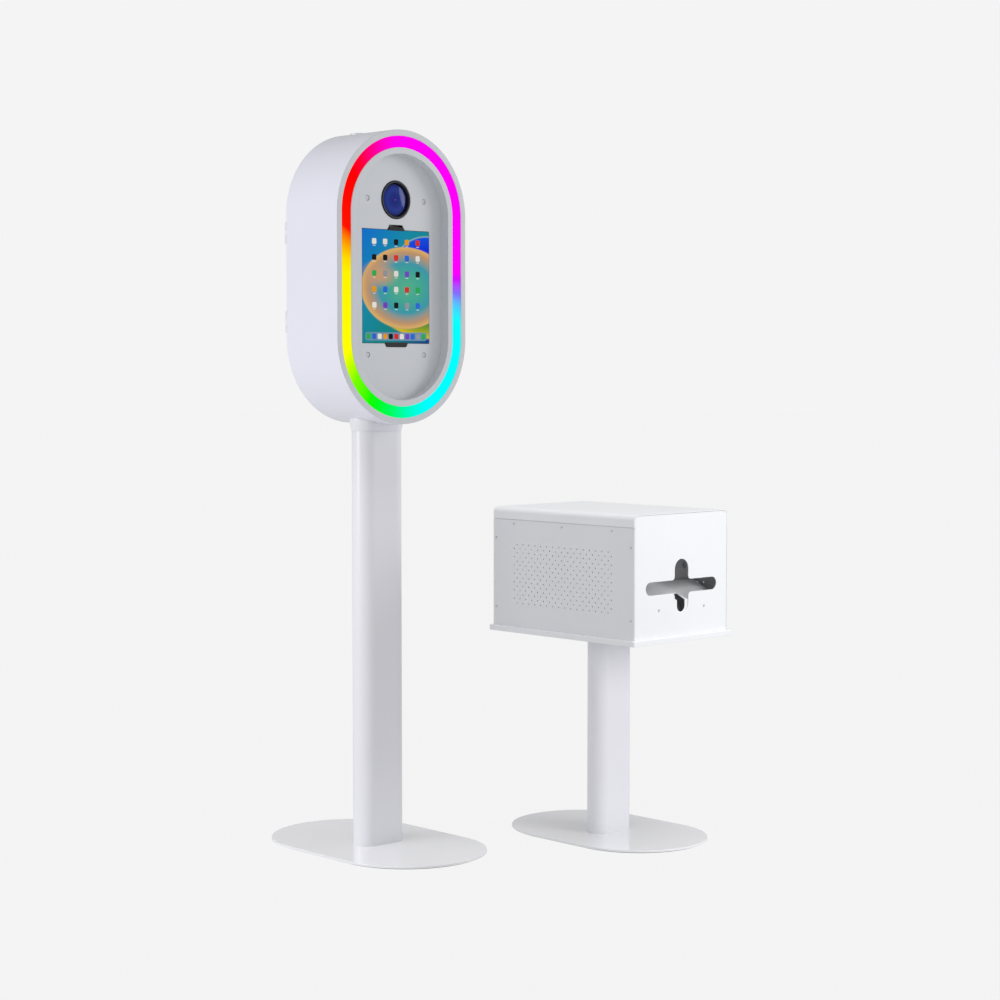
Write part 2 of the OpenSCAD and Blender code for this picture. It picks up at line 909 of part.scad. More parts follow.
module tablet_bottom_jaw() {
    lip_y = panel_front - jaw_seat;
    stem_h = (window_h - bracket_h) / 2 + 12;
    color("#1c1b1f") {
        along_y(lip_y - jaw_lip_t, lip_y) translate([0, bottom_edge])
            bottom_jaw_outline(0);
        along_y(lip_y - jaw_lip_t, stem_back) translate([0, bottom_edge])
            intersection() {
                bottom_jaw_outline(0);
                translate([-bottom_jaw_w, -bottom_jaw_h - jaw_seat])
                    square([2 * bottom_jaw_w, bottom_jaw_h]);
            }
        along_y(bracket_front + bracket_t, stem_back)
            translate([-jaw_stem_w / 2, bottom_edge - bottom_jaw_h])
                square([jaw_stem_w, stem_h + bottom_jaw_h]);
    }
}

module camera_bracket() {
    shelf_back = camera_back - 6;
    gusset = 46;
    color("#a8abb1") difference() {
        union() {
            translate([-shelf_w / 2, chassis_back, camera_bottom - shelf_t])
                cube([shelf_w, shelf_back - chassis_back, shelf_t]);
            translate([-shelf_w / 2, chassis_back, camera_bottom - shelf_flange])
                cube([shelf_w, shelf_t, shelf_flange]);
            for (s = [-1, 1]) along_x(s * (shelf_w / 2 - 1.5) - 1.5,
                s * (shelf_w / 2 - 1.5) + 1.5) polygon([
                    [chassis_back + 1, camera_bottom - 1],
                    [chassis_back + 1, camera_bottom - gusset],
                    [chassis_back + shelf_t, camera_bottom - gusset],
                    [chassis_back + gusset, camera_bottom - shelf_t],
                    [chassis_back + gusset, camera_bottom - 1]
                ]);
        }
        rod_z(0, tripod_y, tripod_r + run, camera_bottom - shelf_t - eps,
            camera_bottom + eps);
    }
}

module camera_screw() {
    knob_r = 11;
    knob_h = 8;
    color("#3c3d42") {
        rod_z(0, tripod_y, tripod_r, camera_bottom - shelf_t - knob_h + 1,
            camera_bottom + 6);
        rod_z(0, tripod_y, knob_r, camera_bottom - shelf_t - knob_h,
            camera_bottom - shelf_t);
    }
}

// Camera: body with grip and finder hump; the lens is on the head's lens axis
module camera_body() {
    grip_mid = (camera_front + camera_back - grip_d) / 2;
    color("#232427") difference() {
        union() {
            upright(camera_bottom, camera_bottom + camera_h)
                translate([0, (camera_front + camera_back) / 2])
                    rounded(camera_w, camera_d, camera_corner);
            upright(camera_bottom, camera_bottom + camera_h - 8)
                translate([-camera_w / 2 + grip_w / 2, grip_mid])
                    rounded(grip_w, camera_d + grip_d, grip_corner);
            along_y(camera_front + 4, camera_back - 6) polygon([
                [-hump_w / 2, camera_bottom + camera_h - 1],
                [hump_w / 2, camera_bottom + camera_h - 1],
                [hump_top_w / 2, camera_bottom + camera_h + hump_h],
                [-hump_top_w / 2, camera_bottom + camera_h + hump_h]
            ]);
        }
        rod_z(0, tripod_y, tripod_r + run, camera_bottom - eps, camera_bottom + 8);
        rod_z(shutter_x, shutter_y, shutter_stem_r + run,
            camera_bottom + camera_h - 8 - shutter_stem_l - shutter_travel - 1,
            camera_bottom + camera_h + eps);
    }
}

module lens_tube(r_out, r_in, y0, y1) {
    difference() {
        rod_y(0, lens_z, r_out, y0, y1);
        rod_y(0, lens_z, r_in, y0 - eps, y1 + eps);
    }
}

module camera_lens() {
    color("#17181b") {
        lens_tube(lens_d / 2, glass_r + run, lens_front, lens_front + glass_seat);
        lens_tube(lens_d / 2, barrel_bore, lens_front + glass_seat, hood_back);
        lens_tube(barrel_r, barrel_bore, hood_back - 0.5, camera_front);
    }
}

module lens_glass() {
    glass_back = lens_front + glass_seat;
    crown_y = glass_back - glass_edge - 4;
    color("#26368c") intersection() {
        rod_y(0, lens_z, glass_r, lens_front, glass_back);
        translate([0, crown_y + glass_ball_r, lens_z]) rotate([90, 0, 0])
            sphere(r = glass_ball_r);
    }
}

module grip_ring(y0, y1) {
    groove = 0.8;
    color("#2a2b2f") difference() {
        lens_tube(ring_out_r, barrel_r + run, y0, y1);
        for (i = [0 : rib_n - 1])
            translate([0, 0, lens_z]) rotate([0, i * 360 / rib_n, 0])
                translate([ring_out_r - groove, y0 + 3, -groove])
                    cube([2 * groove, y1 - y0 - 6, 2 * groove]);
    }
}

module lens_zoom_ring() {
    grip_ring(zoom_front, zoom_front + zoom_l);
}

module lens_focus_ring() {
    grip_ring(focus_front, focus_front + focus_l);
}

module shutter_button() {
    deck = camera_bottom + camera_h - 8;
    color("#b8babf") {
        rod_z(shutter_x, shutter_y, shutter_r, deck + shutter_travel + 0.3,
            deck + shutter_travel + 0.3 + shutter_h);
        rod_z(shutter_x, shutter_y, shutter_stem_r, deck - shutter_stem_l,
            deck + shutter_travel + 1);
    }
}

module power_supply() {
    color("#c3c5c9") {
        translate([-supply_w / 2, chassis_back, supply_z])
            cube([supply_w, supply_d, supply_h - 14]);
        translate([-supply_w / 2, chassis_back, supply_z + supply_h - 14.5])
            cube([supply_w, supply_d * 0.55, 14.5]);
    }
}

module led_controller() {
    controller_x = 16;
    color("#f0f0f0") {
        translate([controller_x, chassis_back, controller_z])
            cube([controller_w, controller_d, controller_h]);
        for (z = [controller_z - 6, controller_z + controller_h - 0.5])
            translate([controller_x + controller_w / 2 - 8, chassis_back, z])
                cube([16, 3, 6.5]);
    }
}

module top_cap() {
    head_top = head_base_z + head_h;
    rim = 2.5;
    dish = 0.8;
    color("#3b3c41") {
        difference() {
            rod_z(0, cap_y, cap_r, head_top - 2, head_top + cap_h);
            rod_y(0, high_centre_z, head_r + seat,
                cap_y - 2 * cap_r, cap_y + 2 * cap_r, $fn = 480);
            rod_z(0, cap_y, cap_r - rim, head_top + cap_h - dish, head_top + cap_h + eps);
        }
        rod_z(0, cap_y, cap_stem_r, head_top - shell_wall - 1, head_top + 1);
    }
}

// A hinge: two fixed knuckles that carry the pin, and the knuckle of the door's leaf
module fixed_knuckles(x, y, z, block_x, block_y) {
    for (s = [-1, 1]) {
        z0 = z + (s > 0 ? knuckle_l / 2 + knuckle_gap : -1.5 * knuckle_l - knuckle_gap);
        rod_z(x, y, knuckle_r, z0, z0 + knuckle_l);
        translate([block_x, block_y, z0]) cube([x - block_x, y - block_y, knuckle_l]);
    }
    rod_z(x, y, pin_r, z - knuckle_l, z + knuckle_l);
}

module leaf_knuckle(x, y, z, reach, block_y) {
    difference() {
        union() {
            rod_z(x, y, knuckle_r, z - knuckle_l / 2, z + knuckle_l / 2);
            translate([x, block_y, z - knuckle_l / 2])
                cube([reach, y - block_y, knuckle_l]);
        }
        rod_z(x, y, pin_r + run, z - knuckle_l, z + knuckle_l);
    }
}

module rear_door() {
    color("#dfe0e8") {
        difference() {
            along_y(door_front, head_back) difference() {
                head_oval(door_inset);
                for (i = [0 : vent_n - 1])
                    translate([0, fan_z + (i - (vent_n - 1) / 2) * vent_pitch])
                        oval(vent_w, vent_h);
                for (i = [0 : vent_n - 1])
                    translate([0, lens_z + (i - (vent_n - 1) / 2) * vent_pitch])
                        oval(vent_w, vent_h);
                translate([lock_x, lock_z]) circle(r = lock_r + run);
            }
            for (z = door_hinge_zs) rod_z(hinge_x, hinge_y, pin_r + run,
                z - knuckle_l, z + knuckle_l);
        }
        for (z = door_hinge_zs)
            leaf_knuckle(hinge_x, hinge_y, z, hinge_block, head_back - 1);
    }
}

module rear_door_hinges() {
    color("#9da0a6") for (z = door_hinge_zs)
        fixed_knuckles(hinge_x, hinge_y, z, -head_r, head_back);
}

module lock_barrel(x, z, face_y) {
    difference() {
        union() {
            rod_y(x, z, lock_flange_r, face_y, face_y + lock_flange_t);
            rod_y(x, z, lock_r, face_y - lock_l, face_y + 1);
        }
        rod_y(x, z, plug_r + run, face_y - lock_l - eps, face_y + lock_flange_t + eps);
    }
}

// The key plug with its cam. The cam points up, which is unlocked
module lock_plug(x, z, face_y) {
    cam_back = face_y - lock_l - fit;
    difference() {
        union() {
            rod_y(x, z, plug_r, cam_back - cam_t, face_y + lock_flange_t - 0.3);
            along_y(cam_back - cam_t, cam_back) translate([x, z + (cam_l - cam_w / 2) / 2])
                square([cam_w, cam_l - cam_w / 2], center = true);
            rod_y(x, z + cam_l - cam_w / 2, cam_w / 2, cam_back - cam_t, cam_back);
        }
        translate([x - key_w / 2, face_y + lock_flange_t - 2.5, z - key_l / 2])
            cube([key_w, 3, key_l]);
    }
}

module rear_door_lock() {
    color("#c9cbd0") lock_barrel(lock_x, lock_z, head_back);
}

module rear_door_cam() {
    color("#a6a8ae") lock_plug(lock_x, lock_z, head_back);
}

module fan_frame() {
    hole_x = fan_s / 2 - 4.5;
    color("#2a2b2e") {
        along_y(fan_front, fan_back) translate([0, fan_z]) difference() {
            rounded(fan_s, fan_s, 4);
            circle(r = fan_bore);
            four(hole_x, hole_x) circle(r = 2.1);
        }
        difference() {
            along_y(fan_front, fan_front + fan_spoke_t) translate([0, fan_z]) union() {
                circle(r = fan_hub_r);
                for (a = [45 : 90 : 315]) rotate(a) translate([0, -fan_spoke_w / 2])
                    square([fan_bore + 1, fan_spoke_w]);
            }
            rod_y(0, fan_z, fan_shaft_r + run, fan_front - eps, fan_front + 10);
        }
    }
}

module fan_rotor() {
    blade_t = 2;
    blade_front = fan_front + fan_spoke_t + 1.5;
    blade_back = fan_back - 2.5;
    blade_len = (blade_back - blade_front) * 1.05;
    color("#35363b") {
        rod_y(0, fan_z, fan_hub_r, blade_front, blade_back);
        rod_y(0, fan_z, fan_shaft_r, fan_front + 0.2, blade_front + 1);
        for (i = [0 : fan_blades - 1])
            translate([0, (blade_front + blade_back) / 2, fan_z])
                rotate([0, i * 360 / fan_blades, 0]) rotate([40, 0, 0])
                    translate([fan_hub_r - 2, -blade_t / 2, -blade_len / 2])
                        cube([fan_blade_r - fan_hub_r, blade_t, blade_len]);
    }
}

// Print station
module station_base_pad() {
    color("#3a3c40") at_station() base_pad(station_base_w, station_base_l);
}

module station_base_plate() {
    color("#dcdde4") at_station()
        base_plate(station_base_w, station_base_l, station_bolt_x, station_bolt_y);
}

module station_base_bolts() {
    color("#9a9ca2") at_station() four(station_bolt_x, station_bolt_y) base_bolt(0);
}

module station_post_foot() {
    color("#b4b6bc") at_station()
        post_foot(station_post_w, station_post_d, station_bolt_x, station_bolt_y);
}

module station_post() {
    color("#d8dae0") at_station()
        post_tube(station_post_w, station_post_d, station_post_top);
}

module station_head_plate() {
    color("#b4b6bc") at_station() {
        upright(station_post_top, station_post_top + head_plate_t) difference() {
            rounded(head_plate_w, head_plate_d, 10);
            circle(r = duct_r);
        }
        upright(station_post_top - foot_h, station_post_top + 1) difference() {
            oval(station_post_w - 2 * (post_wall + seat),
                station_post_d - 2 * (post_wall + seat));
            circle(r = duct_r);
        }
    }
}

// The pan: a plate with a turned-down rim all round, on which the case stands
module printer_pan() {
    pan_w = case_w + 2 * pan_lip;
    pan_l = case_l + 2 * pan_lip;
    color("#e2e5ea") at_station() difference() {
        upright(pan_z, case_z) square([pan_w, pan_l], center = true);
        upright(pan_z - eps, case_z - pan_t)
            square([pan_w - 2 * pan_t, pan_l - 2 * pan_t], center = true);
        rod_z(0, 0, duct_r, pan_z, case_z + eps);
    }
}

// Front view of the hood's outside, with its two bends
module hood_outline(inset, bottom) {
    half = case_half - inset;
    top = case_top - inset;
    r = hood_r - inset;
    translate([-half, bottom]) square([2 * half, top - r - bottom]);
    translate([-half + r, top - r - 1]) square([2 * (half - r), r + 1]);
    for (s = [-1, 1]) translate([s * (half - r), top - r]) circle(r = r);
}

module printer_hood() {
    color("#f0f2f6") at_station() along_y(case_front, case_back) difference() {
        hood_outline(0, panel_top);
        hood_outline(sheet_t, panel_top - eps);
    }
}

// Centres of the holes of a side grille, as distances along Y and Z from its middle
function grille_holes() = concat(
    [for (i = [0 : grille_rows - 1], j = [0 : grille_cols - 1])
        [(j - (grille_cols - 1) / 2) * grille_pitch,
         (i - (grille_rows - 1) / 2) * grille_pitch]],
    [for (i = [0 : grille_rows], j = [0 : grille_cols - 2])
        [(j - (grille_cols - 2) / 2) * grille_pitch,
         (i - grille_rows / 2) * grille_pitch]]
);

// Side panel: a perforated sheet, with a strip that the hood overlaps and a flange at
// each end that the front plate and the rear frame are fixed to
module side_panel(side) {
    panel_mid = (case_z + panel_top) / 2;
    strip_low = 16;
    strip_high = 14;
    front_flange = case_front + front_t;
    back_flange = case_back - 2 * sheet_t;
    color("#cdd0d4") at_station() mirror([side < 0 ? 1 : 0, 0, 0]) {
        along_x(case_half - sheet_t, case_half) difference() {
            translate([case_front, case_z]) square([case_l, panel_top - case_z - seam]);
            for (p = grille_holes()) translate([p[0], panel_mid + p[1]])
                circle(d = grille_hole_d, $fn = 16);
        }
        along_x(case_half - 2 * sheet_t, case_half - sheet_t)
            translate([front_flange, panel_top - strip_low])
                square([back_flange + sheet_t - front_flange, strip_low + strip_high]);
        for (y = [front_flange, back_flange])
            translate([case_half - sheet_t - flange_in, y, case_z])
                cube([flange_in, sheet_t, panel_top - case_z + strip_high]);
    }
}

module side_panel_left() {
    side_panel(-1);
}

module side_panel_right() {
    side_panel(1);
}

// Button-head screws along the hood's sides and the case's upright edges
module case_screws() {
    edges = [case_front + edge_screw_inset, case_back - edge_screw_inset];
    color("#9c9fa5") at_station() for (side = [-1, 1]) {
        for (y = top_screw_ys) case_screw_at(side, y, panel_top - 10);
        for (y = edges, z = edge_screw_zs) case_screw_at(side, y, z);
    }
}

module case_screw_at(side, y, z) {
    head0 = side > 0 ? case_half : -case_half - case_screw_head_h;
    rod_x(y, z, case_screw_head_r, head0, head0 + case_screw_head_h);
}

module cross_outline() {
    reach = cross_w / 2 + cross_fillet;
    rise = slot_h / 2 + cross_fillet;
    oval(slot_w, slot_h);
    oval(cross_w, 2 * cross_half);
    for (x = [-1, 1], y = [-1, 1]) difference() {
        translate([x * (cross_w / 2 + cross_fillet / 2 - 0.5),
            y * (slot_h / 2 + cross_fillet / 2 - 0.5)])
            square([cross_fillet + 1, cross_fillet + 1], center = true);
        translate([x * reach, y * rise]) circle(r = cross_fillet);
    }
}

module front_plate() {
    color("#f0f3f8") at_station() along_y(case_front, case_front + front_t)
        difference() {
            hood_outline(sheet_t + plate_gap, case_z);
            translate([0, slot_z]) cross_outline();
            for (s = [-1, 1]) translate([s * chute_screw_x, chute_screw_z])
                circle(r = case_screw_r);
        }
}

// Chute: an upright flange behind the front plate, bent back into the sloping ramp
module print_chute() {
    ramp = [
        [chute_front, chute_low_z], [chute_front + chute_t, chute_low_z],
        [chute_front + chute_t, chute_bend_z - chute_t / 2],
        [chute_front + chute_run, chute_bend_z + chute_rise - 1.2 * chute_t],
        [chute_front + chute_run, chute_bend_z + chute_rise],
        [chute_front, chute_bend_z]
    ];
    color("#d2d4d8") at_station() difference() {
        along_x(-chute_w / 2, chute_w / 2) polygon(ramp);
        along_y(chute_front - eps, chute_front + finger_deep) finger_slot();
        for (s = [-1, 1])
            rod_y(s * chute_screw_x, chute_screw_z, case_screw_r,
                chute_front - eps, chute_front + 5);
    }
}

module finger_slot() {
    low = finger_low_z + finger_w / 2;
    translate([0, low]) circle(d = finger_w);
    translate([-finger_w / 2, low]) square([finger_w, 2 * cross_half]);
}

module chute_screws() {
    color("#9c9fa5") at_station() for (s = [-1, 1]) {
        rod_y(s * chute_screw_x, chute_screw_z, case_screw_head_r,
            case_front - case_screw_head_h, case_front);
        rod_y(s * chute_screw_x, chute_screw_z, case_screw_r - run,
            case_front - 0.5, chute_front + chute_t + 2);
    }
}

module rear_frame() {
    color("#dfe2e7") at_station() along_y(case_back - sheet_t, case_back)
        difference() {
            hood_outline(sheet_t + plate_gap, case_z);
            translate([0, door_mid_z])
                rounded(station_door_w - 2 * door_lap, station_door_h - 2 * door_lap, 4);
        }
}

module station_door() {
    louvre_n = 7;
    louvre_w = 110;
    louvre_h = 5;
    louvre_pitch = 12;
    leaf_back = door_leaf_y + sheet_t;
    color("#dcdfe4") at_station() difference() {
        union() {
            along_y(door_leaf_y, leaf_back) difference() {
                translate([0, door_mid_z]) rounded(station_door_w, station_door_h, 6);
                for (i = [0 : louvre_n - 1])
                    translate([-30, door_mid_z + (i - (louvre_n - 1) / 2) * louvre_pitch])
                        oval(louvre_w, louvre_h);
            }
            rod_y(station_lock_x, door_mid_z, lock_flange_r,
                door_leaf_y + 0.5, leaf_back + lock_flange_t);
        }
        rod_y(station_lock_x, door_mid_z, plug_r + run,
            case_back - eps, leaf_back + lock_flange_t + eps);
    }
    color("#dcdfe4") at_station() for (z = station_hinge_zs)
        leaf_knuckle(station_hinge_x, station_hinge_y, z, hinge_block + 4, leaf_back - 1);
}

module station_door_hinges() {
    color("#9da0a6") at_station() for (z = station_hinge_zs)
        fixed_knuckles(station_hinge_x, station_hinge_y, z, station_hinge_x - 6, case_back);
}

module station_door_cam() {
    color("#a6a8ae") at_station()
        lock_plug(station_lock_x, door_mid_z, door_leaf_y + sheet_t);
}

// Photo printer: a solid case with a bay for the paper roll and an exit slot above it
module printer_body() {
    bay_half = paper_w / 2 + 2;
    window_w = 60;
    window_h = 22;
    color("#2c2d31") at_station() {
        difference() {
            translate([-printer_w / 2, printer_front, printer_z])
                cube([printer_w, printer_d, printer_h]);
            along_x(-bay_half, bay_half) translate([paper_y, paper_z])
                square(2 * (paper_r + 3), center = true);
            rod_x(paper_y, paper_z, spindle_r + run,
                -bay_half - spindle_l - 1, bay_half + spindle_l + 1);
            translate([-exit_w / 2, printer_front - eps, exit_z - exit_h / 2])
                cube([exit_w, exit_deep, exit_h]);
            translate([-printer_w / 2 + 18, printer_front - eps, printer_top - 34])
                cube([window_w / 2, eps + 1.5, window_h]);
            rod_y(button_x, button_z, button_stem_r + run, printer_front - eps,
                printer_front + button_stem_l + button_travel + 1);
        }
        translate([0, printer_front + printer_d / 2, 0])
            four(printer_w / 2 - 25, printer_d / 2 - 25)
                rod_z(0, 0, printer_foot_r, case_z, printer_z);
    }
}

module printer_button() {
    cap_back = printer_front - button_travel - fit;
    color("#c9ccd2") at_station() {
        rod_y(button_x, button_z, button_r, cap_back - button_h, cap_back);
        rod_y(button_x, button_z, button_stem_r, cap_back - 1,
            printer_front + button_stem_l);
    }
}

module paper_roll() {
    color("#f6f5f0") at_station() {
        rod_x(paper_y, paper_z, paper_r, -paper_w / 2, paper_w / 2);
        rod_x(paper_y, paper_z, spindle_r, -paper_w / 2 - spindle_l, paper_w / 2 + spindle_l);
    }
}

kiosk_base_pad();
kiosk_base_plate();
kiosk_base_bolts();
kiosk_post_foot();
kiosk_post();
power_inlet();
rocker_switch();
neck_collar();
neck_saddle();
neck_fasteners();
head_shell();
front_frame();
led_diffuser();
led_strip();
face_panel();
face_panel_screws();
chassis_plate();
tablet_bracket();
tablet_body();
tablet_screen();
tablet_top_jaw();
tablet_bottom_jaw();
camera_bracket();
camera_screw();
camera_body();
camera_lens();
lens_glass();
lens_zoom_ring();
lens_focus_ring();
shutter_button();
power_supply();
led_controller();
top_cap();
rear_door();
rear_door_hinges();
rear_door_lock();
rear_door_cam();
fan_frame();
fan_rotor();
station_base_pad();
station_base_plate();
station_base_bolts();
station_post_foot();
station_post();
station_head_plate();
printer_pan();
printer_hood();
side_panel_left();
side_panel_right();
case_screws();
front_plate();
rear_frame();
print_chute();
chute_screws();
station_door();
station_door_hinges();
station_door_cam();
printer_body();
printer_button();
paper_roll();
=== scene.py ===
"""Photo booth set: an oval camera kiosk with a colour light ring, and its pedestal print station."""
import json
import math

import bmesh
import bpy
from mathutils import Matrix, Vector

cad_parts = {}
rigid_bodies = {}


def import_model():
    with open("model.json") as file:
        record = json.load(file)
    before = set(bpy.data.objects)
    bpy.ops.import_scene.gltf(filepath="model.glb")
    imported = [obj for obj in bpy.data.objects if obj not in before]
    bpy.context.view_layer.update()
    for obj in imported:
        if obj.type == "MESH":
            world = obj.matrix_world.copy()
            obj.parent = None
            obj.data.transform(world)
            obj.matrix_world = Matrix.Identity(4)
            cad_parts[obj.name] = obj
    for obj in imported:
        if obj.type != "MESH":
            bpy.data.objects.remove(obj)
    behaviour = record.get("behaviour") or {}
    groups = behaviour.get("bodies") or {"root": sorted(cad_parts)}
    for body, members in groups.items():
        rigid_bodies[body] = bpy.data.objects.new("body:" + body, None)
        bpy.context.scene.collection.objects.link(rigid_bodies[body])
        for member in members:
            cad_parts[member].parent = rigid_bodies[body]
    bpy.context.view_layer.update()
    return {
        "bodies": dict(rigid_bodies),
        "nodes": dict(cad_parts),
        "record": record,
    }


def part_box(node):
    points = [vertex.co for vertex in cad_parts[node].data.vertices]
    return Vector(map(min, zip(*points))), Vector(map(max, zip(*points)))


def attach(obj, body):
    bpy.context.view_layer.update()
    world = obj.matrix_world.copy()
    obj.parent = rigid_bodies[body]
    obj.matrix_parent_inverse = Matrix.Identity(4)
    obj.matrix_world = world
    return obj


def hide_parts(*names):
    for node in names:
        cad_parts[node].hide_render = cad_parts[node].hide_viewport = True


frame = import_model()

MM = 0.001
TURN = 2 * math.pi
WELD = 1e-6            # points closer than this are joined
BACKDROP = 0.905       # radiance that the camera sees behind the object
AMBIENT = 0.64         # radiance that lights the object from all sides
FLOOR_GLOW = 0.975     # radiance that the camera sees on the floor, where it isn't shaded
FLOOR_SHADE = 0.16     # share of real shading in the floor
HOOD_GAP = 1.0 * MM    # shadow line under the hood
EDGE = 0.6 * MM        # soft edge on every painted, plated or moulded corner
SHEET = 2 * MM         # sheet metal of the print station's case
CASE_BEND = 13 * MM    # outer bend radius along the top of the case


# ---------------------------------------------------------------- places, read from the frame
class Place:
    """Where a CAD node lies: its low and high corners, its middle and its size."""

    def __init__(self, node):
        self.lo, self.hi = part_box(node)
        self.mid = (self.lo + self.hi) / 2
        self.size = self.hi - self.lo


SHELL = Place("head_shell")
HEAD_R = SHELL.size.x / 2
HEAD_FRONT = SHELL.lo.y
HEAD_BACK = SHELL.hi.y
LOW_CENTRE = SHELL.lo.z + HEAD_R
HIGH_CENTRE = SHELL.hi.z - HEAD_R
HEAD_MID = SHELL.mid.z
LENS = Place("lens_glass").mid
TABLET = Place("tablet_body")
STATION = Place("station_post")


# ---------------------------------------------------------------- outlines
def rounded_path(corners, steps=5):
    """Points round a closed outline whose corners are (u, v, radius)."""
    points = []
    for i, (u, v, radius) in enumerate(corners):
        here = Vector((u, v))
        before = Vector(corners[i - 1][:2]) - here
        after = Vector(corners[(i + 1) % len(corners)][:2]) - here
        if radius <= 0:
            points.append(here)
            continue
        half = before.angle(after) / 2
        reach = min(radius / math.tan(half), before.length / 2, after.length / 2)
        arc = reach * math.tan(half)
        centre = here + (before.normalized() + after.normalized()).normalized() * arc / math.sin(half)
        first = here + before.normalized() * reach - centre
        last = here + after.normalized() * reach - centre
        start = math.atan2(first.y, first.x)
        sweep = (math.atan2(last.y, last.x) - start + math.pi) % TURN - math.pi
        for k in range(steps + 1):
            angle = start + sweep * k / steps
            points.append(centre + arc * Vector((math.cos(angle), math.sin(angle))))
    return [p for i, p in enumerate(points) if (p - points[i - 1]).length > WELD / 10]


def oval_path(width, height, centre=(0, 0), steps=32):
    """Points round an oval with straight sides along its longer way."""
    radius = min(width, height) / 2
    along = Vector((0, height / 2 - radius)) if height > width else Vector((width / 2 - radius, 0))
    start = 0 if height > width else -math.pi / 2
    points = []
    for side in (1, -1):
        for k in range(steps + 1):
            angle = start + math.pi * k / steps
            ray = Vector((math.cos(angle), math.sin(angle)))
            points.append(Vector(centre) + side * (along + radius * ray))
    return points


def circle_path(radius, centre=(0, 0), steps=48):
    """Points round a circle."""
    turn = [TURN * k / steps for k in range(steps)]
    return [Vector(centre) + radius * Vector((math.cos(a), math.sin(a))) for a in turn]


def box_path(low, high, radius=0.0, steps=5):
    """Points round a rectangle from its low to its high corner, with rounded corners."""
    (u0, v0), (u1, v1) = low, high
    return rounded_path([(u0, v0, radius), (u1, v0, radius), (u1, v1, radius), (u0, v1, radius)], steps)


# ---------------------------------------------------------------- meshes
TO_AXIS = {
    "Z": Matrix.Identity(4),
    "Y": Matrix(((1, 0, 0, 0), (0, 0, -1, 0), (0, 1, 0, 0), (0, 0, 0, 1))),
    "X": Matrix(((0, 0, 1, 0), (1, 0, 0, 0), (0, 1, 0, 0), (0, 0, 0, 1))),
}


def finish_mesh(name, bm, sharp=40):
    """Turns a bmesh into a smooth-shaded object whose corners over `sharp` degrees stay sharp."""
    bmesh.ops.remove_doubles(bm, verts=bm.verts, dist=WELD)
    loose = [e for e in bm.edges if not e.link_faces]
    bmesh.ops.delete(bm, geom=loose, context="EDGES")
    bmesh.ops.recalc_face_normals(bm, faces=bm.faces)
    mesh = bpy.data.meshes.new(name)
    bm.to_mesh(mesh)
    bm.free()
    for polygon in mesh.polygons:
        polygon.use_smooth = True
    mesh.set_sharp_from_angle(angle=math.radians(sharp))
    piece = bpy.data.objects.new(name, mesh)
    bpy.context.scene.collection.objects.link(piece)
    weighted = piece.modifiers.new("normals", "WEIGHTED_NORMAL")
    weighted.keep_sharp = True
    return piece


def sheet_mesh(loops, lo, hi, axis, bevel):
    """A bmesh of flat stock cut to 2-D loops, the outer one first, from lo to hi along an axis."""
    curve = bpy.data.curves.new("cut", "CURVE")
    curve.dimensions = "2D"
    curve.fill_mode = "BOTH"
    curve.extrude = (hi - lo) / 2 - bevel
    curve.bevel_depth = bevel
    curve.bevel_resolution = 2
    curve.offset = -bevel
    for loop in loops:
        spline = curve.splines.new("POLY")
        spline.points.add(len(loop) - 1)
        for point, (u, v) in zip(spline.points, loop):
            point.co = (u, v, 0, 1)
        spline.use_cyclic_u = True
    cutter = bpy.data.objects.new("cut", curve)
    bpy.context.scene.collection.objects.link(cutter)
    bpy.context.view_layer.update()
    mesh = bpy.data.meshes.new_from_object(cutter.evaluated_get(bpy.context.evaluated_depsgraph_get()))
    along = {"Z": (0, 0, 1), "Y": (0, 1, 0), "X": (1, 0, 0)}[axis]
    mesh.transform(Matrix.Translation(Vector(along) * (lo + hi) / 2) @ TO_AXIS[axis])
    bm = bmesh.new()
    bm.from_mesh(mesh)
    bpy.data.objects.remove(cutter)
    bpy.data.curves.remove(curve)
    bpy.data.meshes.remove(mesh)
    return bm


def cut_sheet(name, loops, lo, hi, axis, bevel):
    """An object made of flat stock cut to 2-D loops, with rounded edges."""
    return finish_mesh(name, sheet_mesh(loops, lo, hi, axis, bevel))


def merge(target, source):
    """Adds one bmesh to another."""
    mesh = bpy.data.meshes.new("part")
    source.to_mesh(mesh)
    source.free()
    target.from_mesh(mesh)
    bpy.data.meshes.remove(mesh)
    return target


def lattice(rings, closed=True):
    """A bmesh through equal rings of points; the rings close on each other, or the ends are capped."""
    bm = bmesh.new()
    rows = [[bm.verts.new(p) for p in ring] for ring in rings]
    following = rows[1:] + rows[:1] if closed else rows[1:]
    for row, after in zip(rows, following):
        for i, vert in enumerate(row):
            j = (i + 1) % len(row)
            bm.faces.new((vert, row[j], after[j], after[i]))
    if not closed:
        bm.faces.new(rows[0][::-1])
        bm.faces.new(rows[-1])
    return bm


def head_ring(inset, y, steps=72):
    """Points round the head's outline, an inset inside it, at one depth."""
    radius = HEAD_R - inset
    points = []
    for centre, start in ((LOW_CENTRE, math.pi), (HIGH_CENTRE, 0)):
        for k in range(steps + 1):
            angle = start + math.pi * k / steps
            points.append(Vector((radius * math.cos(angle), y, centre + radius * math.sin(angle))))
    return points


def round_head(name, corners):
    """Sweeps a closed section of (inset, y, radius) corners round the head's outline."""
    return finish_mesh(name, lattice([head_ring(p.x, p.y) for p in rounded_path(corners)]))


def turned_mesh(section, centre, axis, steps=72):
    """A bmesh turned on a lathe from a closed section of (radius, along) points."""
    to_axis = TO_AXIS[axis].to_3x3()
    sign = -1 if axis == "Y" else 1
    turn = [TURN * k / steps for k in range(steps)]
    rings = []
    for radius, along in section:
        ring = [Vector((radius * math.cos(a), radius * math.sin(a), sign * along)) for a in turn]
        rings.append([Vector(centre) + to_axis @ p for p in ring])
    return lattice(rings)


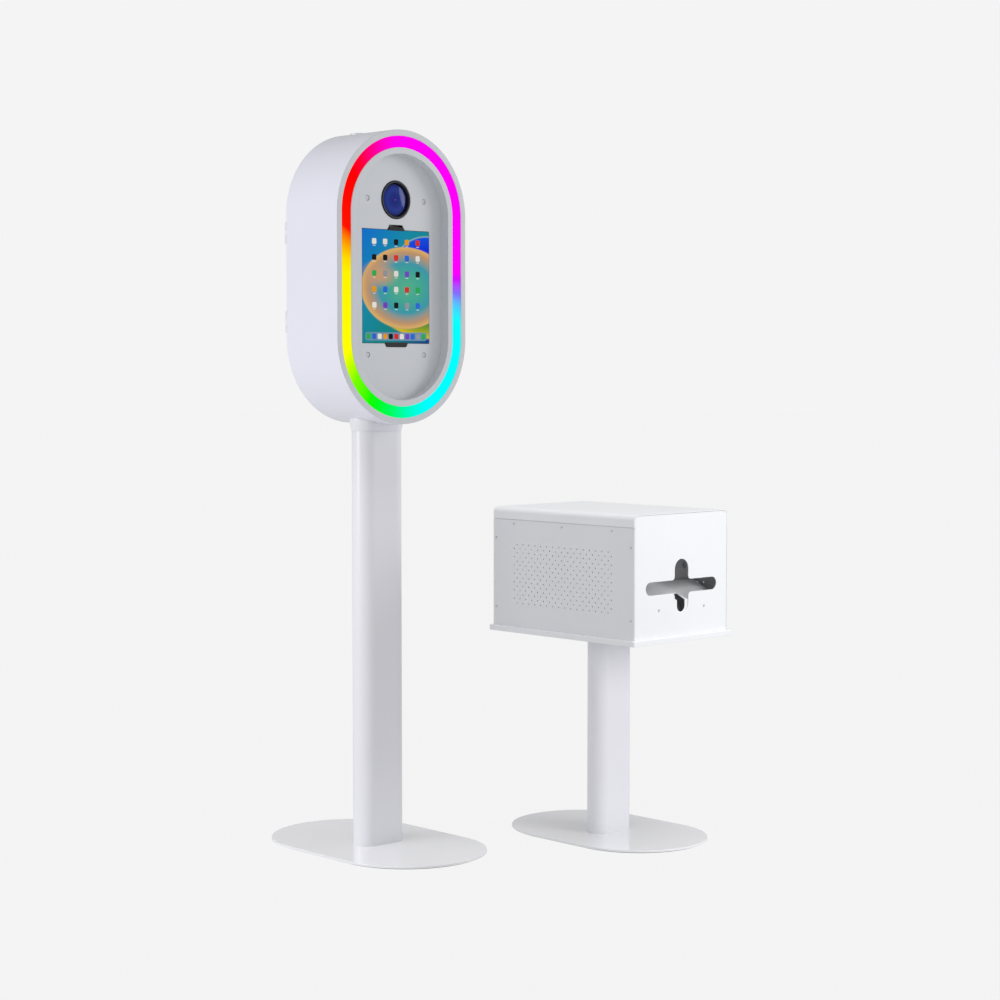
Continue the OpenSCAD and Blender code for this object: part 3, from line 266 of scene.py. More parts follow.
def turned(name, corners, centre, axis, steps=72):
    """An object turned from a closed section of (radius, along, corner radius)."""
    return finish_mesh(name, turned_mesh(rounded_path(corners), centre, axis, steps))


def fit(piece, body, slot, material, *nodes):
    """Gives a piece its material, its body and the CAD nodes that it stands for; the slot argument is not
    used.
    """
    piece.data.materials.clear()
    piece.data.materials.append(material)
    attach(piece, body)
    if nodes:
        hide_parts(*nodes)
    return piece


def dress(node, material):
    """Gives a CAD node a better material."""
    piece = frame["nodes"][node]
    for slot in piece.material_slots:
        slot.material = material


# ---------------------------------------------------------------- materials
def linear(code):
    """A linear colour from an #rrggbb code."""
    parts = [int(code[i:i + 2], 16) / 255 for i in (1, 3, 5)]
    return tuple(c / 12.92 if c <= 0.04045 else ((c + 0.055) / 1.055) ** 2.4 for c in parts) + (1.0,)


class Look:
    """A material with its node tree and its shader."""

    def __init__(self, name, colour, roughness, **sockets):
        self.material = bpy.data.materials.new(name)
        self.material.use_nodes = True
        self.tree = self.material.node_tree
        self.shader = self.tree.nodes["Principled BSDF"]
        self.colour = linear(colour)
        self.shader.inputs["Base Color"].default_value = self.colour
        self.shader.inputs["Roughness"].default_value = roughness
        for key, value in sockets.items():
            self.shader.inputs[key.replace("_", " ")].default_value = value

    def node(self, kind, **inputs):
        """A new node with some of its inputs set."""
        made = self.tree.nodes.new(kind)
        for key, value in inputs.items():
            made.inputs[key.replace("_", " ")].default_value = value
        return made

    def link(self, output, target):
        """Feeds one socket from another."""
        self.tree.links.new(output, target)

    def place(self):
        """Object coordinates, in metres from the row's origin."""
        return self.node("ShaderNodeTexCoord").outputs["Object"]

    def noise(self, scale, detail=3.0):
        """Smooth noise, so many times a metre."""
        made = self.node("ShaderNodeTexNoise", Scale=scale, Detail=detail)
        self.link(self.place(), made.inputs["Vector"])
        return made.outputs["Fac"]

    def ramp(self, factor, stops):
        """A colour ramp through (position, colour) stops."""
        made = self.node("ShaderNodeValToRGB")
        made.color_ramp.elements[0].position = stops[0][0]
        made.color_ramp.elements[0].color = stops[0][1]
        made.color_ramp.elements[1].position = stops[-1][0]
        made.color_ramp.elements[1].color = stops[-1][1]
        for position, colour in stops[1:-1]:
            made.color_ramp.elements.new(position).color = colour
        self.link(factor, made.inputs["Fac"])
        return made.outputs["Color"]

    def hues(self, factor, stops):
        """A colour ramp through (position, #rrggbb) stops."""
        return self.ramp(factor, [(at, linear(code)) for at, code in stops])

    def scaled(self, factor, low, high):
        """A 0 to 1 factor spread over a range."""
        made = self.node("ShaderNodeMapRange", To_Min=low, To_Max=high)
        self.link(factor, made.inputs["Value"])
        return made.outputs["Result"]

    def math(self, operation, first, second=0.0):
        """One sum on sockets or plain numbers."""
        made = self.tree.nodes.new("ShaderNodeMath")
        made.operation = operation
        for socket, value in zip(made.inputs, (first, second)):
            if isinstance(value, (int, float)):
                socket.default_value = value
            else:
                self.link(value, socket)
        return made.outputs["Value"]

    def distance(self, across, rise):
        """Length of a 2-D step."""
        squares = self.math("ADD", self.math("MULTIPLY", across, across), self.math("MULTIPLY", rise, rise))
        return self.math("SQRT", squares)

    def inside(self, reach, edge, softness):
        """1 where a distance is within an edge and 0 past it."""
        made = self.node("ShaderNodeMapRange", From_Min=edge - softness, From_Max=edge + softness,
                         To_Min=1.0, To_Max=0.0)
        made.interpolation_type = "SMOOTHSTEP"
        self.link(reach, made.inputs["Value"])
        return made.outputs["Result"]

    def mix(self, share, below, above):
        """One colour over another, where the share says so."""
        made = self.tree.nodes.new("ShaderNodeMix")
        made.data_type = "RGBA"
        self.link(share, made.inputs[0])
        for socket, value in ((made.inputs[6], below), (made.inputs[7], above)):
            if isinstance(value, tuple):
                socket.default_value = value
            else:
                self.link(value, socket)
        return made.outputs[2]

    def tint(self, factor, spread):
        """Lets the base colour drift by a small share either way."""
        dark = tuple(c * (1 - spread) for c in self.colour[:3]) + (1.0,)
        light = tuple(min(1.0, c * (1 + spread)) for c in self.colour[:3]) + (1.0,)
        self.link(self.ramp(factor, [(0.3, dark), (0.7, light)]), self.shader.inputs["Base Color"])

    def rough(self, factor, low, high):
        """Lets the roughness drift between two values."""
        self.link(self.scaled(factor, low, high), self.shader.inputs["Roughness"])

    def bump(self, height, depth):
        """Rounds the corners as seen, and raises a fine texture of some depth."""
        edge = self.node("ShaderNodeBevel", Radius=EDGE)
        edge.samples = 4
        made = self.node("ShaderNodeBump", Strength=1.0, Distance=depth)
        self.link(edge.outputs["Normal"], made.inputs["Normal"])
        self.link(height, made.inputs["Height"])
        self.link(made.outputs["Normal"], self.shader.inputs["Normal"])


def paint(name, colour, roughness, peel, coat=0.0):
    """Powder coat: a fine orange peel, a slow drift of tone and faint wiped patches."""
    look = Look(name, colour, roughness, Coat_Weight=coat, Coat_Roughness=0.08)
    look.tint(look.noise(3.0), 0.015)
    look.rough(look.noise(11.0, 5.0), roughness * 0.85, roughness * 1.15)
    look.bump(look.noise(700.0, 2.0), peel)
    return look.material


def metal(name, colour, roughness, grain=(60.0, 60.0, 900.0)):
    """Bare or plated metal with a fine directional grain."""
    look = Look(name, colour, roughness, Metallic=1.0)
    stretch = look.node("ShaderNodeMapping", Scale=grain)
    look.link(look.place(), stretch.inputs["Vector"])
    brushed = look.node("ShaderNodeTexNoise", Scale=1.0, Detail=4.0)
    look.link(stretch.outputs["Vector"], brushed.inputs["Vector"])
    look.tint(look.noise(14.0), 0.05)
    look.rough(brushed.outputs["Fac"], roughness * 0.7, roughness * 1.3)
    look.bump(brushed.outputs["Fac"], 0.02 * MM)
    return look.material


def moulded(name, colour, roughness, texture=0.03 * MM, scale=1400.0):
    """Moulded plastic or rubber with a fine spark-eroded texture and handling marks."""
    look = Look(name, colour, roughness)
    look.tint(look.noise(8.0), 0.08)
    look.rough(look.noise(25.0, 5.0), roughness * 0.85, roughness * 1.2)
    look.bump(look.noise(scale, 2.0), texture)
    return look.material


def light_ring_look():
    """Opal diffuser lit from behind: the hues run once round the head."""
    look = Look("light_ring", "#f4f0f6", 0.3)
    split = look.node("ShaderNodeSeparateXYZ")
    look.link(look.place(), split.inputs["Vector"])
    rise = look.math("SUBTRACT", split.outputs["Z"], HEAD_MID)
    angle = look.math("ARCTAN2", split.outputs["X"], rise)
    share = look.math("ADD", look.math("DIVIDE", angle, TURN), 0.5)
    colour = look.hues(share, [
        (0.000, "#00ffa6"), (0.018, "#00ff5f"), (0.040, "#00ff1e"), (0.055, "#12fd00"),
        (0.086, "#76ff00"), (0.106, "#c6ff00"), (0.122, "#ffff00"), (0.255, "#fff400"),
        (0.285, "#ffdc00"), (0.311, "#ffa600"), (0.340, "#ff1400"), (0.410, "#ff0000"),
        (0.430, "#ff0038"), (0.448, "#ff0082"), (0.466, "#ff00c0"), (0.490, "#ff00f4"),
        (0.735, "#ff00ff"), (0.752, "#cc10ff"), (0.782, "#7f70ff"), (0.812, "#40d8ff"),
        (0.835, "#08ffff"), (0.960, "#00ffff"), (0.980, "#00ffe0"), (1.000, "#00ffa6")])
    look.shader.inputs["Base Color"].default_value = linear("#000000")
    look.link(colour, look.shader.inputs["Emission Color"])
    look.shader.inputs["Emission Strength"].default_value = 1.0
    look.shader.inputs["Specular IOR Level"].default_value = 0.0
    look.rough(look.noise(40.0), 0.45, 0.6)
    return look.material


def lens_look():
    """Coated front element: deep blue, with a painted highlight as a lighter band part way to the edge, and a
    thin dark rim.
    """
    look = Look("coated_glass", "#1d2f7c", 0.06,
                Specular_IOR_Level=0.12, Coat_Weight=0.1, Coat_Roughness=0.02)
    rim_r = 38 * MM
    split = look.node("ShaderNodeSeparateXYZ")
    look.link(look.place(), split.inputs["Vector"])
    across = look.math("SUBTRACT", split.outputs["X"], LENS.x)
    rise = look.math("SUBTRACT", split.outputs["Z"], LENS.z)
    share = look.math("DIVIDE", look.distance(across, rise), rim_r)
    # Painted highlight: the lighter band part way to the edge stands in for the reflection in the coated
    # glass.
    colour = look.hues(share, [(0.0, "#1b2c84"), (0.35, "#1e3089"), (0.62, "#2a3f9e"),
                               (0.84, "#213388"), (0.95, "#141a44"), (1.0, "#050508")])
    look.link(colour, look.shader.inputs["Base Color"])
    look.rough(look.noise(30.0), 0.04, 0.08)
    return look.material


def wallpaper_look():
    """The lit picture: soft abstract shapes over a gradient, painted by position alone."""
    look = Look("screen_picture", "#000000", 0.08, Specular_IOR_Level=0.08)
    split = look.node("ShaderNodeSeparateXYZ")
    look.link(look.place(), split.inputs["Vector"])
    half_w = TABLET.size.x / 2
    half_h = TABLET.size.z / 2
    u = look.math("DIVIDE", split.outputs["X"], half_w)
    v = look.math("DIVIDE", look.math("SUBTRACT", split.outputs["Z"], TABLET.mid.z), half_h)

    def oval(centre, squash):
        """Distance from a centre in an oval's own measure, 1 on the oval."""
        du = look.math("DIVIDE", look.math("SUBTRACT", u, centre[0]), squash[0])
        dv = look.math("DIVIDE", look.math("SUBTRACT", v, centre[1]), squash[1])
        return look.distance(du, dv)

    slope = look.math("ADD", look.math("MULTIPLY", look.math("SUBTRACT", u, v), -0.25), 0.5)
    picture = look.hues(slope, [(0.0, "#123f8e"), (0.35, "#148a86"), (0.65, "#128fae"), (1.0, "#0a74d6")])
    right = oval((0.95, 0.42), (0.95, 0.5))
    right_fill = look.hues(right, [(0.0, "#0a16b8"), (0.5, "#0b2fe0"), (0.93, "#0a52e6"), (1.0, "#9fc7a0")])
    picture = look.mix(look.inside(right, 1.0, 0.02), picture, right_fill)
    middle = oval((0.3, -0.02), (1.36, 0.74))
    middle_fill = look.hues(middle, [(0.0, "#5bb892"), (0.35, "#46ae9a"), (0.6, "#3f9fb0"),
                                     (0.85, "#c79a72"), (1.0, "#f0c06a")])
    in_middle = look.inside(middle, 0.98, 0.02)
    picture = look.mix(in_middle, picture, middle_fill)
    glow = oval((-0.5, 0.2), (0.62, 0.26))
    picture = look.mix(look.inside(glow, 0.6, 0.5), picture, linear("#d0a077"))
    wide = oval((1.05, 0.35), (1.62, 0.95))
    band = look.math("MULTIPLY", look.inside(wide, 1.33, 0.03), look.math("SUBTRACT", 1.0, in_middle))
    low_band = look.math("MULTIPLY", band, look.inside(v, -0.12, 0.06))
    band_fill = look.hues(look.math("DIVIDE", wide, 1.36), [
        (0.0, "#123a6a"), (0.55, "#125a44"), (0.75, "#2c8a2c"), (0.9, "#a8b024"), (1.0, "#ffd400")])
    picture = look.mix(low_band, picture, band_fill)
    look.link(picture, look.shader.inputs["Emission Color"])
    look.shader.inputs["Emission Strength"].default_value = 0.85
    look.rough(look.noise(60.0), 0.05, 0.12)
    return look.material


def tile_look(name, colour, glow=0.85):
    """A lit tile of the picture on the screen."""
    look = Look(name, "#000000", 0.12, Specular_IOR_Level=0.08)
    dimmed = tuple(c * 0.9 for c in linear(colour)[:3]) + (1.0,)
    lit = look.ramp(look.noise(45.0, 1.0), [(0.35, dimmed), (0.65, linear(colour))])
    look.link(lit, look.shader.inputs["Emission Color"])
    look.shader.inputs["Emission Strength"].default_value = glow
    return look.material


def seen_and_felt(tree, seen, felt):
    """Lets the camera see one shader and everything else receive another."""
    path = tree.nodes.new("ShaderNodeLightPath")
    choice = tree.nodes.new("ShaderNodeMixShader")
    tree.links.new(path.outputs["Is Camera Ray"], choice.inputs[0])
    tree.links.new(felt, choice.inputs[1])
    tree.links.new(seen, choice.inputs[2])
    return choice.outputs[0]


def floor_look():
    """A pale floor that is as bright as the surround, with a faint contact shadow."""
    look = Look("floor", "#ffffff", 0.9, Specular_IOR_Level=0.0)
    look.tint(look.noise(0.7), 0.004)
    share = look.node("ShaderNodeMixShader", Fac=FLOOR_SHADE)
    glow = look.node("ShaderNodeEmission", Strength=FLOOR_GLOW, Color=linear("#ffffff"))
    look.link(glow.outputs["Emission"], share.inputs[1])
    look.link(look.shader.outputs["BSDF"], share.inputs[2])
    dim = look.node("ShaderNodeEmission", Strength=AMBIENT, Color=linear("#ffffff"))
    output = look.tree.nodes["Material Output"]
    look.link(seen_and_felt(look.tree, share.outputs[0], dim.outputs["Emission"]), output.inputs["Surface"])
    return look.material


LOOKS = {
    # Base plates: a brighter, glossier copy of the white paint; the gloss and coat are their finish, the
    # extra brightness is painted light.
    "base_gloss_painted_light": paint("base_gloss_painted_light", "#f6f6fa", 0.08, 0.004 * MM, 0.5),
    "white_paint": paint("white_paint", "#ededf3", 0.3, 0.02 * MM, 0.15),
    "white_gloss": paint("white_gloss", "#eeeffb", 0.25, 0.02 * MM, 0.2),
    # Face paint on the rims, the face panel and its screws: a light grey, partly the face's own tone and
    # partly painted shade on these faces that look to the front.
    "grey_face": paint("grey_face", "#d9dce1", 0.42, 0.03 * MM),
    "station_paint": paint("station_paint", "#f2f3f6", 0.34, 0.03 * MM),
    # Side panels: a darker copy of the station's white paint, painted shade that keeps the sides darker than
    # the front plate.
    "panel_grey": paint("panel_grey", "#eaebef", 0.42, 0.03 * MM),
    "zinc_steel": metal("zinc_steel", "#d2d3d7", 0.4),
    "plain_steel": metal("plain_steel", "#b4b5b9", 0.42),
    "bare_aluminium": metal("bare_aluminium", "#c9cace", 0.35),
    "bright_trim": metal("bright_trim", "#d2d3d6", 0.15),
    "tablet_metal": metal("tablet_metal", "#4a4b50", 0.4),
    "pad_rubber": moulded("pad_rubber", "#2b2c2f", 0.85, 0.1 * MM, 500.0),
    "black_plastic": moulded("black_plastic", "#1c1d20", 0.5),
    "white_plastic": moulded("white_plastic", "#eceef0", 0.4),
    "red_plastic": moulded("red_plastic", "#b01c17", 0.25),
    "jaw_black": moulded("jaw_black", "#0c0a0c", 0.65),
    "camera_black": moulded("camera_black", "#141417", 0.45, 0.06 * MM, 1800.0),
    "ring_rubber": moulded("ring_rubber", "#1a1a1c", 0.7),
    "printer_plastic": moulded("printer_plastic", "#e9e9ec", 0.35),
    "paper_white": moulded("paper_white", "#f4f2ea", 0.3),
    "opal": light_ring_look(),
    "strip_white": moulded("strip_white", "#eeeee0", 0.5),
    "coated_glass": lens_look(),
    "screen_glass": wallpaper_look(),
}


# ---------------------------------------------------------------- both bases and posts
def bases():
    """Both oval base plates, with rounded edges."""
    for node, body in (("kiosk_base_plate", "kiosk_stand"), ("station_base_plate", "print_station")):
        place = Place(node)
        outline = oval_path(place.size.x, place.size.y, place.mid.xy, 64)
        piece = cut_sheet(node + "_shown", [outline], place.lo.z, place.hi.z, "Z", 0.8 * MM)
        # Painted light: the plates get a brighter copy of their slot's white paint.
        fit(piece, body, "white_paint", LOOKS["base_gloss_painted_light"], node)


def neck():
    """The flared collar: a seam ring at its foot, then a smooth flare that ends on the head's curve."""
    place = Place("neck_collar")
    post = Place("kiosk_post")
    straight = (post.size.x - post.size.y) / 2
    post_r = post.size.y / 2
    collar_drop = 18 * MM
    bottom = SHELL.lo.z - collar_drop
    flare = place.size.x / 2 - straight - post_r
    flare_wall = 2 * MM
    run = 0.4 * MM
    head_gap = 0.1 * MM
    proud = 1.2 * MM
    soft = 0.3 * MM
    seam_top = bottom + 2.5 * MM
    flare_foot = seam_top + 0.6 * MM
    steps = 40
    rows = 12

    def ring(grow, share, floor):
        """Points round the post, grown outwards, at a share of the way up from a floor to the head."""
        points = []
        for side, start in ((1, -math.pi / 2), (-1, math.pi / 2)):
            for k in range(steps + 1):
                angle = start + math.pi * k / steps
                x = side * straight + (post_r + grow) * math.cos(angle)
                y = (post_r + grow) * math.sin(angle)
                top = LOW_CENTRE - math.sqrt((HEAD_R + head_gap) ** 2 - x * x)
                points.append(Vector((x, y, floor + share * (top - floor))))
        return points

    seam = [(run, bottom), (proud - soft, bottom), (proud, bottom + soft), (proud, seam_top - soft),
            (proud - soft, seam_top), (proud - 0.5 * MM, seam_top + 0.2 * MM), (proud - 0.1 * MM, flare_foot)]
    rings = [ring(grow, 0, height) for grow, height in seam]
    for k in range(1, rows + 1):
        share = k / rows
        grow = proud + (flare - proud) * math.sin(share * math.pi / 2) ** 1.3
        rings.append(ring(grow, share, flare_foot))
    rings.append(ring(flare - flare_wall, 1, bottom))
    rings.append(ring(run, 0.6, bottom))
    collar = finish_mesh("neck_collar_shown", lattice(rings))
    fit(collar, "head", "white_paint", LOOKS["white_paint"], "neck_collar")


# ---------------------------------------------------------------- head
def head_rims():
    """The shell, its front rim, the light ring between the rims, and the recessed inner rim."""
    diffuser = Place("led_diffuser")
    inner = Place("front_frame")
    outer_rim = 13.7 * MM
    rim_t = 3 * MM
    wall = 4 * MM
    lip = 14 * MM
    lip_back = HEAD_BACK - 3.3 * MM
    lip_front = lip_back - 3 * MM
    seam = 0.25 * MM
    edge = 0.6 * MM
    flange = 2 * MM
    # Painted shade: the front rim is part of the white shell, given the grey face paint so that its front is
    # darker than the shell's sides.
    rim = round_head("head_front_rim", [
        (seam, HEAD_FRONT, edge), (outer_rim, HEAD_FRONT, edge), (outer_rim, HEAD_FRONT + rim_t, 0),
        (seam, HEAD_FRONT + rim_t, 0)])
    fit(rim, "head", "grey_face", LOOKS["grey_face"], "head_shell")
    wrap = round_head("head_shell_shown", [
        (0, HEAD_FRONT + seam, edge), (seam, HEAD_FRONT + seam, 0), (seam, HEAD_FRONT + rim_t, 0),
        (wall, HEAD_FRONT + rim_t, 0), (wall, lip_front, 0), (lip, lip_front, edge),
        (lip, lip_back, edge), (wall, lip_back, 0), (wall, HEAD_BACK, edge), (0, HEAD_BACK, 1.2 * MM)])
    fit(wrap, "head", "white_gloss", LOOKS["white_gloss"], "head_shell")
    ring_out = HEAD_R - diffuser.size.x / 2
    ring_in = 39.9 * MM
    ring = round_head("light_ring", [
        (ring_out, diffuser.lo.y, 0.8 * MM), (ring_in, diffuser.lo.y, 0.8 * MM),
        (ring_in, diffuser.hi.y, 0), (ring_in - flange, diffuser.hi.y, 0),
        (ring_in - flange, diffuser.lo.y + rim_t, 0), (ring_out + flange, diffuser.lo.y + rim_t, 0),
        (ring_out + flange, diffuser.hi.y, 0), (ring_out, diffuser.hi.y, 0)])
    fit(ring, "head", "opal", LOOKS["opal"], "led_diffuser")
    rim_out = 40.2 * MM
    recess_edge = 54.3 * MM
    channel = HEAD_R - inner.size.x / 2
    channel_y = HEAD_FRONT + 16 * MM
    frame_piece = round_head("inner_rim", [
        (rim_out, HEAD_FRONT, edge), (recess_edge, HEAD_FRONT, 0.9 * MM), (recess_edge, inner.hi.y, 0),
        (recess_edge - rim_t, inner.hi.y, 0), (recess_edge - rim_t, channel_y + rim_t, 0),
        (channel, channel_y + rim_t, 0), (channel, channel_y, 0), (recess_edge - rim_t, channel_y, 0),
        (recess_edge - rim_t, HEAD_FRONT + rim_t, 0), (rim_out, HEAD_FRONT + rim_t, 0)])
    fit(frame_piece, "head", "grey_face", LOOKS["grey_face"], "front_frame")


def face_panel():
    """The recessed panel, with the lens hole, the tablet's window and four counterbores."""
    place = Place("face_panel")
    screws = Place("face_panel_screws")
    flange_r = 5.6 * MM
    bore_x = screws.hi.x - flange_r
    spots = [(side * bore_x, z)
             for side in (-1, 1) for z in (screws.lo.z + flange_r, screws.hi.z - flange_r)]
    bores = [circle_path(6 * MM, spot, 32) for spot in spots]
    outline = oval_path(place.size.x, place.size.z, (0, place.mid.z), 72)
    lens_hole = circle_path(44 * MM, (LENS.x, LENS.z), 96)
    piece = cut_sheet("face_panel_shown", [outline, lens_hole, tablet_window()] + bores,
                      place.lo.y, place.hi.y, "Y", 0.4 * MM)
    fit(piece, "head", "grey_face", LOOKS["grey_face"], "face_panel")
    panel_screws(screws, spots)


def tablet_window():
    """The hole round the tablet, with a notch for the jaw below it and one for the jaw above it."""
    gap = 0.6 * MM
    half_w = TABLET.size.x / 2 + gap
    half_h = TABLET.size.z / 2 + gap
    edge = TABLET.size.z / 2
    shoulder = 1 * MM
    corner = 1.5 * MM
    notch_corner = 1 * MM
    low_mouth = 34.3 * MM
    low_end = 29.8 * MM
    low_depth = 8.8 * MM
    high_mouth = 26 * MM
    high_end = 19.5 * MM
    high_depth = 11.6 * MM
    below = [(-half_w, -half_h, corner), (-low_mouth, -half_h, 0), (-low_mouth, -edge - shoulder, 0),
             (-low_end, -edge - low_depth, notch_corner)]
    above = [(half_w, half_h, corner), (high_mouth, half_h, 0), (high_mouth, edge + shoulder, 0),
             (high_end, edge + high_depth, notch_corner)]

    def mirrored(part):
        """The same corners on the other side, in turn."""
        return [(-u, v, radius) for u, v, radius in reversed(part)]

    window = rounded_path(below + mirrored(below) + above + mirrored(above))
    return [p + Vector((0, TABLET.mid.z)) for p in window]


def panel_screws(place, spots):
    """Low round screw heads with a socket, and their shanks."""
    front = place.lo.y
    socket_r = 1.6 * MM
    socket_d = 0.9 * MM
    head_r = 5.0 * MM
    head_t = 1.5 * MM
    shank_r = 2 * MM
    section = rounded_path([
        (0, front + socket_d, 0), (socket_r, front + socket_d, 0), (1.8 * MM, front, 0.1 * MM),
        (head_r, front, 0.7 * MM), (head_r, front + head_t, 0), (shank_r, front + head_t, 0),
        (shank_r, place.hi.y, 0), (0, place.hi.y, 0)])
    screws = bmesh.new()
    for x, z in spots:
        merge(screws, turned_mesh(section, (x, 0, z), "Y", 32))
    piece = finish_mesh("face_panel_screws_shown", screws)
    fit(piece, "head", "grey_face", LOOKS["grey_face"], "face_panel_screws")


def lens():
    """Lens hood and barrel with a groove and a filter thread, the domed front element and a small painted
    glint.
    """
    barrel = Place("camera_lens")
    glass = Place("lens_glass")
    radius = barrel.size.x / 2
    front = barrel.lo.y
    hood_back = front + 34 * MM
    inner_r = glass.size.x / 2 + 0.05 * MM
    seat = front + 12 * MM
    barrel_r = 36 * MM
    bore_r = 30 * MM
    groove_r = radius - 0.6 * MM
    thread_r = inner_r + 0.5 * MM
    section = rounded_path([
        (inner_r + 1.2 * MM, front, 0.5 * MM), (radius, front, 0.9 * MM), (radius, front + 5 * MM, 0.2 * MM),
        (groove_r, front + 5.4 * MM, 0), (groove_r, front + 6.4 * MM, 0),
        (radius, front + 6.8 * MM, 0.2 * MM), (radius, hood_back, 0.5 * MM),
        (barrel_r, hood_back, 0), (barrel_r, barrel.hi.y, 0), (bore_r, barrel.hi.y, 0),
        (bore_r, seat, 0), (inner_r, seat, 0), (inner_r, front + 3.4 * MM, 0.1 * MM),
        (thread_r, front + 3.0 * MM, 0), (thread_r, front + 2.2 * MM, 0),
        (inner_r + 0.1 * MM, front + 1.8 * MM, 0)])
    piece = finish_mesh("camera_lens_shown", turned_mesh(section, (LENS.x, 0, LENS.z), "Y", 96))
    fit(piece, "head", "camera_black", LOOKS["camera_black"], "camera_lens")
    glass_r = glass.size.x / 2
    rise = 3.0 * MM
    rows = 24
    dome = [(glass_r * k / rows, glass.lo.y + rise * (k / rows) ** 2) for k in range(rows + 1)]
    element_mesh = turned_mesh(dome + [(glass_r, glass.hi.y), (0, glass.hi.y)], (LENS.x, 0, LENS.z), "Y", 96)
    element = finish_mesh("lens_glass_shown", element_mesh)
    fit(element, "head", "coated_glass", LOOKS["coated_glass"], "lens_glass")
    glint_r = 1.2 * MM
    glint_front = -0.15 * MM
    glint_back = 0.3 * MM
    # Painted reflection: a small glowing magenta disc on the glass stands in for the coating's glint.
    glint = turned("lens_painted_glint", [
        (0, glint_front, 0), (glint_r, glint_front, 0.1 * MM), (glint_r, glint_back, 0), (0, glint_back, 0)],
        (LENS.x, glass.lo.y, LENS.z), "Y", 24)
    fit(glint, "head", "coated_glass", tile_look("lens_painted_glint", "#d21af0", 1.0))


def tablet():
    """The tablet with a thin bezel, and its screen."""
    screen = Place("tablet_screen")
    case = box_path((TABLET.lo.x, TABLET.lo.z), (TABLET.hi.x, TABLET.hi.z), 5 * MM, 8)
    body = cut_sheet("tablet_body_shown", [case], screen.lo.y + 0.15 * MM, TABLET.hi.y, "Y", 1.2 * MM)
    fit(body, "head", "tablet_metal", LOOKS["tablet_metal"], "tablet_body")
    pane = box_path((screen.lo.x, screen.lo.z), (screen.hi.x, screen.hi.z), 4.6 * MM, 8)
    glass = cut_sheet("tablet_screen_shown", [pane], screen.lo.y, screen.hi.y, "Y", 0.3 * MM)
    fit(glass, "head", "screen_glass", LOOKS["screen_glass"], "tablet_screen")
    screen_tiles(screen)


def screen_tiles(screen):
    """The picture on the screen: rows of plain tiles, each over a short line, and a dock of small tiles."""
    colours = ["#f2efe6", "#16171b", "#e0342c", "#f3a11c", "#2fb457", "#2f6fe0", "#7b46c8", "#9aa0a8"]
    looks = [tile_look("tile_%d" % i, colour) for i, colour in enumerate(colours)]
    looks.append(tile_look("dock", "#7fa6c8", 0.7))
    pale = 0
    dock_look = len(colours)
    columns = 5
    half = 13 * MM / 2
    pitch_x = 32.8 * MM
    pitch_z = 36 * MM
    first_drop = 27 * MM
    line_drop = 3 * MM
    line = (4.2 * MM, 0.7 * MM)
    dock_z = screen.lo.z + 15 * MM
    dock = (screen.size.x / 2 - 8 * MM, 9.5 * MM)
    dock_pitch = 16.6 * MM
    dock_tile = 6.2 * MM
    sunk = 0.05 * MM
    face = screen.lo.y
    tiles = bmesh.new()

    def patch(spot, half_size, corner, steps, proud, bevel, which):
        """A thin rounded rectangle on the screen, in one of the looks."""
        before = len(tiles.faces)
        low = (spot[0] - half_size[0], spot[1] - half_size[1])
        high = (spot[0] + half_size[0], spot[1] + half_size[1])
        merge(tiles, sheet_mesh([box_path(low, high, corner, steps)], face - proud, face + sunk, "Y", bevel))
        tiles.faces.ensure_lookup_table()
        for polygon in tiles.faces[before:]:
            polygon.material_index = which

    def tile(x, z, reach, which, proud):
        """A square tile with round corners."""
        patch((x, z), (reach, reach), reach * 0.45, 4, proud, 0.03 * MM, which)

    order = [0, 0, 1, 3, 2, 1, 1, 2, 5, 0, 4, 7, 0, 6, 1, 3, 5, 0, 2, 4, 0, 6, 1, 7, 5]
    for i, which in enumerate(order):
        x = (i % columns - (columns - 1) / 2) * pitch_x
        z = screen.hi.z - first_drop - i // columns * pitch_z
        tile(x, z, half, which, 0.12 * MM)
        patch((x, z - half - line_drop), line, line[1] * 0.9, 3, 0.1 * MM, 0.02 * MM, pale)
    patch((0, dock_z), dock, 6 * MM, 6, 0.08 * MM, 0.02 * MM, dock_look)
    dock_order = [4, 5, 0, 3, 1, 2, 0, 6, 5, 7, 4]
    for i, which in enumerate(dock_order):
        tile((i - (len(dock_order) - 1) / 2) * dock_pitch, dock_z, dock_tile, which, 0.16 * MM)
    picture = finish_mesh("screen_tiles", tiles)
    for look in looks:
        picture.data.materials.append(look)
    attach(picture, "head")


def top_cap():
    """The low round cap on the head, with a shallow dish and a button in its middle."""
    place = Place("top_cap")
    radius = place.size.x / 2
    high = place.hi.z
    low = SHELL.hi.z - 1.5 * MM
    dish = high - 0.8 * MM
    button = high - 0.4 * MM
    piece = turned("top_cap_shown", [
        (0, low, 0), (radius, low, 0), (radius, high, 1.0 * MM), (radius - 2.5 * MM, high, 0.4 * MM),
        (radius - 3.3 * MM, dish, 0.3 * MM), (6 * MM, dish, 0), (5 * MM, button, 0.3 * MM),
        (0, button, 0)], (place.mid.x, place.mid.y, 0), "Z", 64)
    fit(piece, "head", "white_gloss", LOOKS["white_gloss"], "top_cap")


# ---------------------------------------------------------------- print station
def case_path(half, bottom, top, bend):
    """Points round the case as seen from the front: square below, bent above."""
    return rounded_path([(half, bottom, 0), (half, top, bend), (-half, top, bend), (-half, bottom, 0)], 10)


def at_station(points):
    """Moves an outline across to the print station."""
    return [p + Vector((STATION.mid.x, 0)) for p in points]


